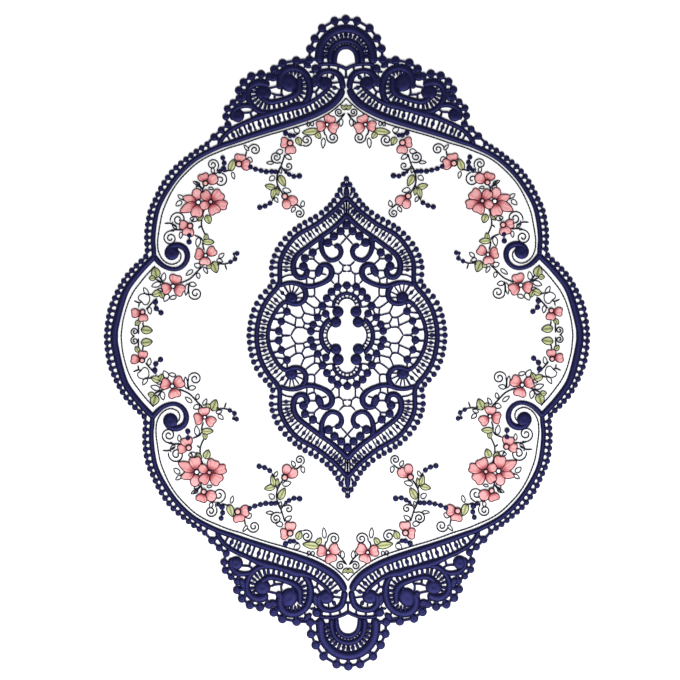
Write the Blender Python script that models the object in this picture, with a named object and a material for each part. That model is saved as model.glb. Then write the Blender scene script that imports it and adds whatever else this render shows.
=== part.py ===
"""Lace doily: a sheer ground panel, an openwork lace border round it and a lace medallion in its centre.

The doily lies flat. Its origin is the middle of its underside, +Y runs along its length and +Z points up.
The design has four like quarters, so every table below describes the quarter with x and y above zero, in
millimetres, and loops mirror it. Distances are turned to metres where a curve is made.
"""

import math

import bpy

MM = 0.001

# Driving dimensions, in millimetres.
LENGTH = 400.0  # over the beads at the tops of the two crests
WIDTH = 296.0  # over the picots at the two sides
LACE_THICK = 1.8  # embroidered border and medallion
GROUND_THICK = 1.0  # sheer ground with its hemmed edges
SEAM = 0.3  # clearance between the ground and the lace sewn to it
BAND = 3.4  # width of the satin band that edges the ground
BAR = 1.0  # width of the bars that join neighbouring beads
PICOT = 1.5  # radius of a small picot
PICOT_PITCH = 4.05  # along the border
MEDAL_PICOT = 1.6  # radius of a medallion picot
BEAD = 2.6  # radius of the crest's top bead
LARGE_BEAD = 1.8  # beads from this radius up have a finer outline
EDGE_STEP = 6.0  # spacing of the points along smooth edges
CORNER_REACH = 1.05  # how far a gap's corners reach past the ellipse that its table row gives
LONG_GAP = 7.4  # gaps from this length up have eight corners, not six
NOTCH_TIP = 152.0  # where the band's inner edges meet under the crest

# Colours, linear red, green and blue.
SHEER_WHITE = (0.86, 0.86, 0.85)
NAVY = (0.014, 0.015, 0.07)

# Centre line of the satin band round each side lobe, from the side's middle to the notch (x, y).
SIDE_BAND = ((141.3, 0.0), (140.9, 6.0), (137.3, 20.0), (133.7, 30.0), (126.3, 40.0), (119.6, 47.2))

# Centre line of the satin band from the scroll, round the corner and under the crest to its middle (x, y).
CORNER_BAND = (
    (117.6, 50.0), (118.1, 60.0), (117.1, 70.0), (114.9, 80.0), (109.8, 90.0), (102.7, 100.0), (92.6, 109.6),
    (79.5, 116.6), (69.5, 120.1), (59.5, 123.7), (49.5, 127.0), (39.5, 130.3), (29.5, 133.7), (19.5, 137.5),
    (9.5, 143.5), (4.0, 149.5), (1.9, 154.0),
)

# Centre line of the small picots, from the side's middle, through the notch, to the foot of the crest (x, y).
PICOT_LINE = (
    (WIDTH / 2 - PICOT, 0.0), (145.9, 7.5), (144.5, 16.0), (141.8, 23.5), (138.3, 30.7), (134.2, 37.3),
    (128.8, 43.3), (122.6, 49.6), (122.3, 55.0), (122.6, 62.0), (121.9, 69.9), (120.3, 77.8), (117.0, 85.3),
    (113.9, 91.9), (109.5, 98.9), (104.6, 104.7), (99.0, 109.4), (93.4, 113.8), (85.9, 118.9),
)

# Beads round the crest, from its foot to its top (x, y, radius).
CREST_BEADS = (
    (80.6, 123.0, 2.1), (77.2, 128.0, 2.0), (72.9, 131.3, 2.1), (74.2, 136.5, 2.1), (73.5, 141.6, 2.0),
    (69.8, 145.4, 1.9), (65.9, 148.0, 2.1), (66.1, 153.0, 2.4), (63.4, 158.4, 2.4), (58.7, 162.5, 2.5),
    (52.6, 163.8, 2.5), (47.6, 162.2, 2.4), (44.6, 167.0, 2.5), (39.3, 170.8, 2.6), (30.8, 172.4, 2.6),
    (22.5, 172.0, 2.6), (21.9, 178.8, 2.5), (19.0, 185.3, 2.5), (14.5, 191.9, 2.5), (6.8, 196.4, 2.5),
    (0.0, LENGTH / 2 - BEAD, BEAD),
)

# Side scroll: the arcs of its outline, in the order in which the inner edge meets them (x, y, radius, from,
# to).
SCROLL = (
    (104.5, 48.8, 8.8, -38, -285),  # outside of the arm, from the notch round to the top
    (107.0, 51.4, 4.9, 62, -180),  # the wound centre
    (106.5, 49.3, 7.0, -212, -12),  # inside of the arm, back to the band
)

# Arched hole in the crown of the crest: half of its outline, from foot to top (x, y).
CROWN_HOLE = ((0.0, 166.8), (5.5, 170.0), (5.3, 174.0), (4.1, 177.1), (2.2, 178.8), (0.0, 179.3))

# Waisted gap on the medallion's long axis, between its two round loops: half of its outline (x, y).
WAIST_GAP = (
    (0.0, 44.3), (3.3, 44.8), (4.2, 46.2), (2.2, 49.4), (1.7, 52.4), (2.7, 55.4), (2.2, 57.6), (0.0, 59.3),
)

# Gaps of the crest's net: centre, length, width, direction of the length in degrees, taper towards that end.
CREST_GAPS = (
    (43.4, 152.9, 6.2, 4.8, 0, 0.0),
    (36.9, 151.3, 6.2, 3.2, -4, 0.0),
    (47.2, 148.8, 4.8, 3.0, -30, -0.4),
    (45.6, 157.4, 4.2, 3.6, 20, 0.0),
    (27.8, 169.3, 4.8, 3.0, 10, 0.0),
    (23.4, 166.4, 4.0, 3.4, 90, 0.0),
    (16.2, 151.7, 4.6, 3.3, -35, 0.0),
    (21.2, 148.6, 5.8, 3.2, -50, -0.5),
    (20.9, 162.2, 4.4, 2.8, 80, 0.4),
    (62.3, 140.3, 6.0, 3.2, 0, -0.2),
    (56.7, 137.7, 4.8, 2.9, 20, 0.2),
    (61.9, 135.2, 6.2, 3.2, -40, -0.5),
)

# Middle of the ladder along the crest's foot (x, y, length of the rungs' gap).
CREST_LADDER = (
    (6.6, 157.0, 4.0), (8.3, 152.0, 4.4), (12.5, 147.3, 4.8), (20.5, 141.6, 5.4), (31.0, 137.6, 6.2),
    (42.5, 134.1, 6.6), (54.5, 130.6, 6.6), (64.5, 126.8, 6.0), (72.5, 122.9, 4.0),
)
CREST_RUNGS = 15  # gaps on each side of the crest, at twice the pitch of the real rungs

# Line of the medallion's picots, from its side to its tip (x, y).
MEDAL_LINE = (
    (59.7, 0.0), (58.9, 7.7), (56.9, 15.7), (52.9, 23.6), (47.4, 29.6), (45.2, 33.4), (45.9, 38.0),
    (45.7, 44.5), (42.7, 52.7), (38.0, 59.6), (31.8, 65.6), (25.8, 69.6), (19.1, 73.3), (12.6, 78.0),
    (7.6, 83.6), (3.8, 90.3), (0.0, 97.0),
)
MEDAL_PICOTS = 30  # pitches in a quarter

# Middle of the medallion's ladders (x, y, length of the rungs' gap).
UPPER_LADDER = (
    (5.3, 75.5, 3.6), (12.5, 69.3, 4.4), (22.0, 63.0, 4.8), (31.0, 55.5, 4.8), (36.2, 46.5, 4.8),
    (37.3, 38.9, 4.8),
)
UPPER_RUNGS = 12
LOWER_LADDER = (
    (36.5, 28.3, 3.2), (40.2, 25.9, 4.2), (46.3, 18.5, 4.6), (50.7, 9.5, 4.4), (51.9, 2.1, 4.4),
)
LOWER_RUNGS = 9

# Gaps of the medallion's net, in the same columns as the crest's.
MEDAL_GAPS = (
    (36.9, 4.4, 6.8, 5.6, 25, 0.0),
    (35.0, 10.2, 6.2, 4.2, 22, 0.0),
    (28.9, 7.8, 4.8, 4.6, 90, -0.2),
    (30.4, 14.6, 7.2, 6.0, 25, 0.0),
    (23.9, 16.1, 7.0, 4.2, 40, 0.0),
    (23.6, 10.6, 6.6, 4.4, 15, 0.0),
    (20.8, 20.9, 7.0, 4.8, 20, 0.0),
    (22.0, 26.3, 4.2, 3.2, 90, 0.0),
    (17.3, 14.9, 4.2, 3.4, 20, 0.0),
    (41.3, 13.9, 5.8, 3.4, -50, -0.3),
    (44.2, 7.2, 6.2, 3.2, 102, -0.3),
    (15.0, 27.0, 8.6, 10.2, 4, -0.45),
    (6.1, 41.5, 6.2, 5.8, 60, 0.0),
    (7.2, 34.6, 5.4, 3.2, 80, 0.0),
    (13.2, 39.5, 4.2, 2.9, 78, 0.0),
    (16.4, 34.4, 6.8, 2.9, -28, 0.0),
    (17.0, 47.5, 7.2, 4.0, 60, -0.3),
    (19.0, 54.5, 4.6, 3.2, -50, -0.3),
    (22.0, 43.4, 6.0, 6.0, 90, 0.5),
    (20.9, 36.8, 4.6, 3.2, 100, 0.0),
    (10.0, 51.4, 8.8, 6.0, 20, 0.0),
    (4.9, 59.3, 5.8, 3.4, -25, 0.0),
    (36.3, 34.9, 6.8, 2.8, -8, 0.0),
)

# The same for the gaps that lie on the medallion's long axis and on its short one.
LONG_AXIS_GAPS = ((0.0, 35.6, 7.2, 8.8, 90, 0.0),)
SHORT_AXIS_GAPS = ((28.9, 0.0, 9.0, 8.6, 0, 0.0), (44.7, 0.0, 4.4, 5.6, 0, 0.3))

# Four-lobed hole in the middle of the medallion: the arcs of a quarter (x, y, radius, from, to).
QUATREFOIL = (
    (7.6, 0.0, 4.9, 0, 72),
    (7.3, 7.8, 3.4, -78, -215),
    (5.6, 14.4, 3.0, -135, -235),
    (0.0, 17.7, 4.4, -8, 90),
)


def clear_scene():
    """Remove what a new file holds."""
    for thing in list(bpy.data.objects):
        bpy.data.objects.remove(thing, do_unlink=True)


def smooth(rows, steps=8):
    """Catmull-Rom curve through the rows, with that many steps to a span; any number of columns."""
    ends = [[2 * a - b for a, b in zip(rows[0], rows[1])], [2 * a - b for a, b in zip(rows[-1], rows[-2])]]
    knots = [ends[0], *rows, ends[1]]
    line = []
    for k in range(1, len(knots) - 2):
        for step in range(steps):
            t = step / steps
            weights = (
                -0.5 * t + t * t - 0.5 * t**3,
                1 - 2.5 * t * t + 1.5 * t**3,
                0.5 * t + 2 * t * t - 1.5 * t**3,
                -0.5 * t * t + 0.5 * t**3,
            )
            near = knots[k - 1 : k + 3]
            line.append([sum(w * row[c] for w, row in zip(weights, near)) for c in range(len(rows[0]))])
    line.append(list(rows[-1]))
    return line


def line_length(line):
    return sum(math.dist(a[:2], b[:2]) for a, b in zip(line, line[1:]))


def spaced(line, pitches):
    """Points that part the line in equal lengths, its two ends included."""
    step = line_length(line) / pitches
    points = [line[0]]
    walked = 0.0
    for a, b in zip(line, line[1:]):
        run = math.dist(a[:2], b[:2])
        while len(points) < pitches and walked + run >= step * len(points):
            t = (step * len(points) - walked) / run
            points.append([p + (q - p) * t for p, q in zip(a, b)])
        walked += run
    points.append(line[-1])
    return points


def beside(line, distance):
    """The line moved to its left by the distance."""
    moved = []
    for k, point in enumerate(line):
        before = line[max(k - 1, 0)]
        after = line[min(k + 1, len(line) - 1)]
        run = math.dist(before[:2], after[:2])
        left = (-(after[1] - before[1]) / run, (after[0] - before[0]) / run)
        moved.append((point[0] + left[0] * distance, point[1] + left[1] * distance))
    return moved


def arc(x, y, radius, start, end, step=30):
    """Points on an arc, its two ends included, with the angles in degrees."""
    count = max(2, round(abs(end - start) / step))
    points = []
    for k in range(count + 1):
        turn = math.radians(start + (end - start) * k / count)
        points.append((x + radius * math.cos(turn), y + radius * math.sin(turn)))
    return points


def all_quarters(quarter):
    """Close a quarter that runs anticlockwise from the short axis to the long one; other columns are kept."""
    half = list(quarter)
    for point in reversed(quarter):
        if point[0] > 1e-6:
            half.append((-point[0], *point[1:]))
    loop = list(half)
    for point in reversed(half):
        if point[1] > 1e-6:
            loop.append((point[0], -point[1], *point[2:]))
    return loop


def shrunk(loop, distance):
    """An anticlockwise loop drawn in by the distance, with its sharp corners kept short."""
    inner = []
    for k, point in enumerate(loop):
        before = loop[k - 1]
        after = loop[(k + 1) % len(loop)]
        into = math.atan2(point[1] - before[1], point[0] - before[0])
        out = math.atan2(after[1] - point[1], after[0] - point[0])
        bend = (out - into + math.pi) % (2 * math.pi) - math.pi
        side = into + bend / 2 + math.pi / 2
        reach = distance / max(math.cos(bend / 2), 0.6)
        inner.append((point[0] + reach * math.cos(side), point[1] + reach * math.sin(side)))
    return inner


def beaded(beads):
    """Outline round a loop of beads (x, y, radius), joined by bars: an arc on the outside of each bead."""
    outline = []
    for k, (x, y, radius) in enumerate(beads):
        before = beads[k - 1]
        after = beads[(k + 1) % len(beads)]
        root = math.degrees(math.asin(BAR / 2 / radius))
        start = math.degrees(math.atan2(before[1] - y, before[0] - x)) + root
        span = (math.degrees(math.atan2(after[1] - y, after[0] - x)) - root - start) % 360
        outline += arc(x, y, radius, start, start + span, span / (3 if radius < LARGE_BEAD else 5))
    return outline


def mirrored(outline, across_x=True, across_y=True):
    """The outline of a gap and its mirror images in the other quarters."""
    outlines = [outline]
    if across_x:
        outlines += [[(-x, y) for x, y in points] for points in outlines]
    if across_y:
        outlines += [[(x, -y) for x, y in points] for points in outlines]
    return outlines


def gap(x, y, length, width, turn, taper):
    """A rounded gap of the net, with a taper that widens one end."""
    corners = 6 if length < LONG_GAP else 8
    turn = math.radians(turn)
    points = []
    for k in range(corners):
        t = 2 * math.pi * (k + 0.5) / corners
        along = math.cos(t) * length / 2 * CORNER_REACH
        across = math.sin(t) * width / 2 * CORNER_REACH * (1 + taper * math.cos(t))
        points.append((
            x + along * math.cos(turn) - across * math.sin(turn),
            y + along * math.sin(turn) + across * math.cos(turn),
        ))
    return points


def both_halves(half):
    """An outline on the long axis from its right half."""
    return list(half) + [(-x, y) for x, y in reversed(half) if x > 0]


def ladder(rows, gaps):
    """Four-cornered gaps of a ladder along its middle line, parted by the rungs."""
    outlines = []
    line = spaced(smooth(rows), gaps * 8)
    for k in range(gaps):
        corners = []
        for at, side in ((k * 8 + 1, 1), (k * 8 + 1, -1), (k * 8 + 7, -1), (k * 8 + 7, 1)):
            edge = beside(line[at - 1 : at + 2], side * line[at][2] / 2)
            corners.append(edge[1])
        outlines.append(corners)
    return outlines


def flat_piece(name, loops, thick, colour, roughness, collection):
    """One solid of the given thickness on the plane z = 0: its outline, then the outlines of its holes."""
    curve = bpy.data.curves.new(name, "CURVE")
    curve.dimensions = "2D"
    curve.fill_mode = "BOTH"
    curve.extrude = thick / 2 * MM
    for loop in loops:
        spline = curve.splines.new("POLY")
        spline.points.add(len(loop) - 1)
        for point, (x, y) in zip(spline.points, loop):
            point.co = (x * MM, y * MM, 0.0, 1.0)
        spline.use_cyclic_u = True
    piece = bpy.data.objects.new(name, curve)
    piece.location.z = thick / 2 * MM
    collection.objects.link(piece)
    material = bpy.data.materials.new(name + "_thread")
    material.use_nodes = True
    shader = material.node_tree.nodes["Principled BSDF"]
    shader.inputs["Base Color"].default_value = (*colour, 1.0)
    shader.inputs["Roughness"].default_value = roughness
    shader.inputs["Metallic"].default_value = 0.0
    curve.materials.append(material)
    return piece


def inner_edge():
    """The closed line where the border's band and side scrolls meet the ground."""
    side = beside(smooth(SIDE_BAND), BAND / 2)
    corner = beside(smooth(CORNER_BAND), BAND / 2)
    scroll = []
    for x, y, radius, start, end in SCROLL:
        scroll += arc(x, y, radius, start, end)
    side = spaced(side, round(line_length(side) / EDGE_STEP))
    corner = spaced(corner, round(line_length(corner) / EDGE_STEP))
    return all_quarters(side + scroll + [point for point in corner if point[0] > BAR] + [(0.0, NOTCH_TIP)])


def border_outline():
    """The doily's outer edge: small picots round the sides and corners, larger beads round the crests."""
    line = smooth(PICOT_LINE)
    picots = [(x, y, PICOT) for x, y in spaced(line, round(line_length(line) / PICOT_PITCH))]
    return beaded(all_quarters(picots + list(CREST_BEADS)))


def border_gaps():
    """The gaps in the two crests."""
    outlines = mirrored(both_halves(CROWN_HOLE), across_x=False)
    for row in CREST_GAPS:
        outlines += mirrored(gap(*row))
    for rung_gap in ladder(CREST_LADDER, CREST_RUNGS):
        outlines += mirrored(rung_gap)
    return outlines


def medal_gaps():
    """The four-lobed hole, the net and the ladders of the medallion."""
    quarter = []
    for x, y, radius, start, end in QUATREFOIL:
        quarter += arc(x, y, radius, start, end, 36)
    outlines = [all_quarters(quarter)] + mirrored(both_halves(WAIST_GAP), across_x=False)
    for row in MEDAL_GAPS:
        outlines += mirrored(gap(*row))
    for row in LONG_AXIS_GAPS:
        outlines += mirrored(gap(*row), across_x=False)
    for row in SHORT_AXIS_GAPS:
        outlines += mirrored(gap(*row), across_y=False)
    for rung_gap in ladder(UPPER_LADDER, UPPER_RUNGS) + ladder(LOWER_LADDER, LOWER_RUNGS):
        outlines += mirrored(rung_gap)
    return outlines


def medal_outline():
    """The medallion's outer edge of picots."""
    picots = [(x, y, MEDAL_PICOT) for x, y in spaced(smooth(MEDAL_LINE), MEDAL_PICOTS)]
    return beaded(all_quarters(picots))


def ground_opening():
    """The opening of the ground, just clear of the medallion's picots."""
    clear = MEDAL_PICOT + SEAM
    tip = MEDAL_LINE[-1][1]
    sides = beside(spaced(smooth(MEDAL_LINE), MEDAL_PICOTS), -clear)[:-1]
    return all_quarters(sides + arc(0.0, tip, clear, 10, 90, 40)[:-1] + [(0.0, tip + clear)])


def main():
    clear_scene()
    doily = bpy.data.collections.new("lace_doily")
    bpy.context.scene.collection.children.link(doily)
    edge = inner_edge()
    flat_piece("ground", [shrunk(edge, SEAM), ground_opening()], GROUND_THICK, SHEER_WHITE, 0.6, doily)
    flat_piece("border", [border_outline(), edge, *border_gaps()], LACE_THICK, NAVY, 0.5, doily)
    flat_piece("medallion", [medal_outline(), *medal_gaps()], LACE_THICK, NAVY, 0.5, doily)


main()
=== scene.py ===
"""The looks of the lace doily: organza ground, satin-stitched lace and flower sprays, laid on a pale floor.

The doily lies flat with its middle at the origin and has four like quarters. Tables describe the quarter with
x and y above zero, in millimetres, and each row is worked in all four.
"""

import math

import bmesh
import bpy
import numpy as np
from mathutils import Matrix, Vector


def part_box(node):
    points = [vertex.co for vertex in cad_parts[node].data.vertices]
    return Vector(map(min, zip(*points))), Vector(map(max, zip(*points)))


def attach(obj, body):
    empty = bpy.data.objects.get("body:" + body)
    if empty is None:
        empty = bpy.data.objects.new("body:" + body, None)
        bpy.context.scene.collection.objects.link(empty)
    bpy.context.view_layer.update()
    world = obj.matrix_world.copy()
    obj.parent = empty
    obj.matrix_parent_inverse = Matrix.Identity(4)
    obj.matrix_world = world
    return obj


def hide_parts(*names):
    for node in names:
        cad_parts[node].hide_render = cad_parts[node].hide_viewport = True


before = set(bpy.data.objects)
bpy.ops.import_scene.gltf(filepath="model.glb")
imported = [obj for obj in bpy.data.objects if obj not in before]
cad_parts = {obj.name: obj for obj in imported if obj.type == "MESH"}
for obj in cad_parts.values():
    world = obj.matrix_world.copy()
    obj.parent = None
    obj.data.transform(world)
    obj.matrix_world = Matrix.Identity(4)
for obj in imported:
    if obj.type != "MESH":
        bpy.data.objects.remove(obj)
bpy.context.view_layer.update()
bpy.ops.object.select_all(action="DESELECT")


# ---- Sheer ground ----
# White organza, plain woven from fine polyester filament and cut to the middle of the satin bands that are
# stitched over its edges. It lies a third of a millimetre up, held by the lace on either side.

MM = 0.001
ORGANZA_LOW = 0.35
ORGANZA_THICK = 0.25
ORGANZA_TOP = ORGANZA_LOW + ORGANZA_THICK
ORGANZA_STEP = 3.0
CURVE_STEPS = 12
# Columns that change sign across the long axis and the short one, and how near to an axis counts as on it.
LONG_AXIS = 0
SHORT_AXIS = 1
ON_AXIS = 0.01

# Satin band round the side lobe, then from the notch round the corner to the crest (x, y, width).
SIDE_BAND = (
    (141.7, 0, 5), (141.2, 6, 4.9), (137.8, 20, 4.7), (133.9, 30, 4.4), (126.3, 40, 4.1), (119.6, 47.1, 3.9),
    (117.2, 49.7, 3.4),
)
CORNER_BAND = (
    (117.9, 48.6, 3.2), (118.2, 54, 3.2), (118.6, 60, 3.2), (117.7, 70, 3.2), (115.4, 80, 3.2),
    (110.3, 90, 3.2), (103, 100.3, 3.2), (92.7, 109.9, 3.3), (79.6, 116.9, 3.4), (69.6, 120.5, 3.6),
    (59.5, 124.1, 3.9), (49.5, 127.4, 4.2), (39.4, 130.6, 4.6), (29.3, 133.9, 4.9), (19.2, 137.8, 5.1),
    (9.5, 143.4, 5.3), (4.1, 149.1, 5.1), (1.9, 153.9, 4.5),
)
# Satin band round the medallion, from its side to its tip (x, y, width).
MEDALLION_BAND = (
    (55, 0, 3.3), (54.8, 4.4, 3.3), (54, 8.7, 3.3), (53.1, 12.8, 3.3), (51.6, 16.8, 3.3), (49.5, 20.8, 3.3),
    (46.6, 25, 3.3), (43.3, 28.7, 3.4), (41.2, 32.4, 3.4), (40.9, 36, 3.3), (41, 40, 3.3), (40.9, 43.9, 3.3),
    (40, 47.7, 3.3), (38.3, 51.6, 3.3), (35.7, 55.8, 3.3), (32.5, 59.8, 3.2), (28.5, 63.2, 3.3),
    (23.9, 65.7, 3.2), (19, 68.5, 3.2), (14.9, 71.4, 3.3), (10.8, 74.7, 3.3), (7, 78, 3.3), (3.5, 81.8, 3.3),
    (0, 85, 3.5),
)


def linear(hex_colour):
    """An sRGB hex colour as linear red, green, blue and alpha."""
    shares = [int(hex_colour[k : k + 2], 16) / 255 for k in (0, 2, 4)]
    return (*[c / 12.92 if c <= 0.04045 else ((c + 0.055) / 1.055) ** 2.4 for c in shares], 1.0)


def feed(tree, made, inputs):
    """Set a node's sockets, by name or number, each to a value or to an output that is linked to it."""
    for socket, value in inputs.items():
        if isinstance(value, bpy.types.NodeSocket):
            tree.links.new(value, made.inputs[socket])
        else:
            made.inputs[socket].default_value = value


def node(tree, kind, inputs=None, **settings):
    """Add a node with its settings, and feed it."""
    made = tree.nodes.new(kind)
    for name, value in settings.items():
        setattr(made, name, value)
    feed(tree, made, inputs or {})
    return made


def material_for(name):
    """A new material, its node tree and its shader."""
    material = bpy.data.materials.new(name)
    material.use_nodes = True
    return material, material.node_tree, material.node_tree.nodes["Principled BSDF"]


def walked(line):
    """How far each point of a line lies from its start, measured along it."""
    return np.concatenate([[0], np.cumsum(np.linalg.norm(np.diff(line[:, :2], axis=0), axis=1))])


def smooth_line(rows, step, closed=False):
    """Points at even steps on a smooth curve through rows of x, y and any further columns."""
    rows = np.array(rows, float)
    if closed:
        knots = np.concatenate([rows[-1:], rows, rows[:2]])
    else:
        knots = np.concatenate([[2 * rows[0] - rows[1]], rows, [2 * rows[-1] - rows[-2]]])
    t = np.linspace(0, 1, CURVE_STEPS, endpoint=False)[:, None]
    line = []
    for a, b, c, d in zip(knots, knots[1:], knots[2:], knots[3:]):
        square = 2 * a - 5 * b + 4 * c - d
        cube = 3 * b - a - 3 * c + d
        line.append(0.5 * (2 * b + (c - a) * t + square * t**2 + cube * t**3))
    line = np.concatenate([*line, knots[-2:-1]])
    along = walked(line)
    even = np.linspace(0, along[-1], max(2, round(along[-1] / step)) + 1)
    points = np.stack([np.interp(even, along, column) for column in line.T], 1)
    return points[:-1] if closed else points


def carried_over(rows, axis):
    """A line that starts at an axis, carried on across it into the next quarter."""
    rows = np.array(rows, float)
    image = rows[::-1].copy()
    image[:, axis] *= -1
    if abs(rows[0, axis]) < ON_AXIS:
        image = image[:-1]
    return np.concatenate([image, rows])


def ring_of(quarter):
    """A closed line from a quarter that runs from the short axis to the long one."""
    half = carried_over(quarter, SHORT_AXIS)
    image = half[::-1].copy()
    image[:, LONG_AXIS] *= -1
    if abs(half[-1, LONG_AXIS]) < ON_AXIS:
        image = image[1:-1]
    return np.concatenate([half, image])


side_line = smooth_line(SIDE_BAND, ORGANZA_STEP)
corner_line = smooth_line(CORNER_BAND, ORGANZA_STEP)
organza_edge = ring_of(np.concatenate([side_line[:-2], corner_line[1:]]))
organza_opening = smooth_line(ring_of(MEDALLION_BAND), ORGANZA_STEP, closed=True)

cut = bpy.data.curves.new("organza_ground", "CURVE")
cut.dimensions = "2D"
cut.fill_mode = "BOTH"
cut.extrude = ORGANZA_THICK / 2 * MM
for loop in (organza_edge, organza_opening):
    spline = cut.splines.new("POLY")
    spline.points.add(len(loop) - 1)
    for point, (x, y) in zip(spline.points, loop[:, :2]):
        point.co = (x * MM, y * MM, 0, 1)
    spline.use_cyclic_u = True
organza = bpy.data.objects.new("organza_ground", cut)
bpy.context.scene.collection.objects.link(organza)
bpy.context.view_layer.objects.active = organza
organza.select_set(True)
organza.location.z = (ORGANZA_LOW + ORGANZA_THICK / 2) * MM
bpy.ops.object.convert(target="MESH")
bpy.ops.object.transform_apply(location=True)
bpy.ops.object.mode_set(mode="EDIT")
bpy.ops.mesh.select_all(action="SELECT")
bpy.ops.mesh.remove_doubles(threshold=0.00001)
bpy.ops.mesh.normals_make_consistent(inside=False)
bpy.ops.object.mode_set(mode="OBJECT")
organza.select_set(False)

# Sheer filament weave: threads at 0.35 mm in the real cloth, drawn at 1.4 mm so that they show. The open
# squares between them let the floor through, which makes the cloth look like a white veil.
WEAVE_PITCH = 1.4
WEAVE_RELIEF = 0.1
SLUBS_PER_METRE = 90.0
OPEN_COVER = 0.24
THREAD_COVER = 0.29

veil, tree, shader = material_for("organza_weave")
place = node(tree, "ShaderNodeTexCoord")
axes = node(tree, "ShaderNodeSeparateXYZ", {0: place.outputs["Object"]})
sets = []
for axis in ("X", "Y"):
    rate = math.pi / WEAVE_PITCH / MM
    turns = node(tree, "ShaderNodeMath", {0: axes.outputs[axis], 1: rate}, operation="MULTIPLY")
    wave = node(tree, "ShaderNodeMath", {0: turns.outputs[0]}, operation="SINE")
    sets.append(node(tree, "ShaderNodeMath", {0: wave.outputs[0]}, operation="ABSOLUTE"))
cover = node(tree, "ShaderNodeMath", {0: sets[0].outputs[0], 1: sets[1].outputs[0]}, operation="MAXIMUM")
noise = {"Vector": place.outputs["Object"], "Scale": SLUBS_PER_METRE, "Detail": 3.0}
slub = node(tree, "ShaderNodeTexNoise", noise)
reach = {0: cover.outputs[0], 1: 0.6, 2: 1.0, 3: OPEN_COVER, 4: THREAD_COVER}
clear = node(tree, "ShaderNodeMapRange", reach)
shades = {0: slub.outputs["Fac"], 6: linear("FAFBFD"), 7: linear("FFFFFF")}
tint = node(tree, "ShaderNodeMix", shades, data_type="RGBA")
height = {"Height": cover.outputs[0], "Strength": 0.1, "Distance": WEAVE_RELIEF * MM}
relief = node(tree, "ShaderNodeBump", height)
feed(tree, shader, {"Base Color": tint.outputs[2], "Alpha": clear.outputs[0], "Normal": relief.outputs[0]})
feed(tree, shader, {"Roughness": 0.45, "Sheen Weight": 0.3})
organza.data.materials.append(veil)
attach(organza, "root")
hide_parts("ground")


# ---- Border satin bands ----
# Navy rayon embroidery thread laid side by side over a padding cord, so that the band is domed and catches
# light along its middle. It runs round every lobe, and at each notch it curls into a scroll on the organza.

LACE_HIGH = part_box("border")[1].z / MM
# Satin stitch: step along the band, how far every second thread sinks, and how far the threads lean.
SATIN_STEP = 0.55
SATIN_FURROW = 0.045
SATIN_SLANT = 0.14
# Sections of a padded band and of a round thread: across in half widths, up in heights.
DOME = np.array((
    (-1.0, 0.14), (-0.9, 0.52), (-0.52, 0.88), (0.0, 1.0), (0.52, 0.88), (0.9, 0.52), (1.0, 0.14), (0.7, 0.0),
    (-0.7, 0.0),
))
ROUND = np.array([(-math.cos(a), (1 + math.sin(a)) / 2) for a in np.arange(6) * math.pi / 3])
THREAD_TWIST = 1.2
# A bar's rounded end: the least share of the width, and the share of the height that it leaves as it is.
END_WIDE = 0.25
END_HIGH = 0.4
# Padded dot: its side's height, the steps by which its top is drawn in (inwards, up), and its corners.
STUD_SIDE = 0.4
STUD_INSETS = ((0.08, 0.24), (0.22, 0.24), (0.3, 0.12), (0.18, -0.07))
STUD_CORNERS = 14
# Ways to work a row: in all four quarters, or in two when it reaches over an axis.
QUARTERS = ((1, 1), (-1, 1), (1, -1), (-1, -1))
UP_DOWN = ((1, 1), (1, -1))
LEFT_RIGHT = ((1, 1), (-1, 1))

# Scroll at the side notch, from the band inwards (x, y, width), and the solid disc it winds round (x, y, half
# length, half width, turn).
SCROLL = (
    (118.3, 50, 3.4), (115.6, 46.3, 3.6), (111.9, 43.1, 3.2), (107.7, 41.4, 3), (103.6, 41.4, 3),
    (100.3, 43.2, 3.2), (98.1, 46.3, 3.5), (97.5, 49.9, 3.8), (98.7, 53.4, 4), (101.6, 55.6, 4.2),
    (105.2, 56, 4), (108.6, 54.4, 3.6), (110, 51.6, 3.2),
)
SCROLL_DISC = ((107.1, 51.4, 4.6, 4.8, 0),)


def mirrored(rows, ways=QUARTERS):
    """The same rows worked each way, as one array for each."""
    rows = np.array(rows, float)
    images = []
    for way in ways:
        image = rows.copy()
        image[:, :2] *= way
        images.append(image)
    return images


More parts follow.
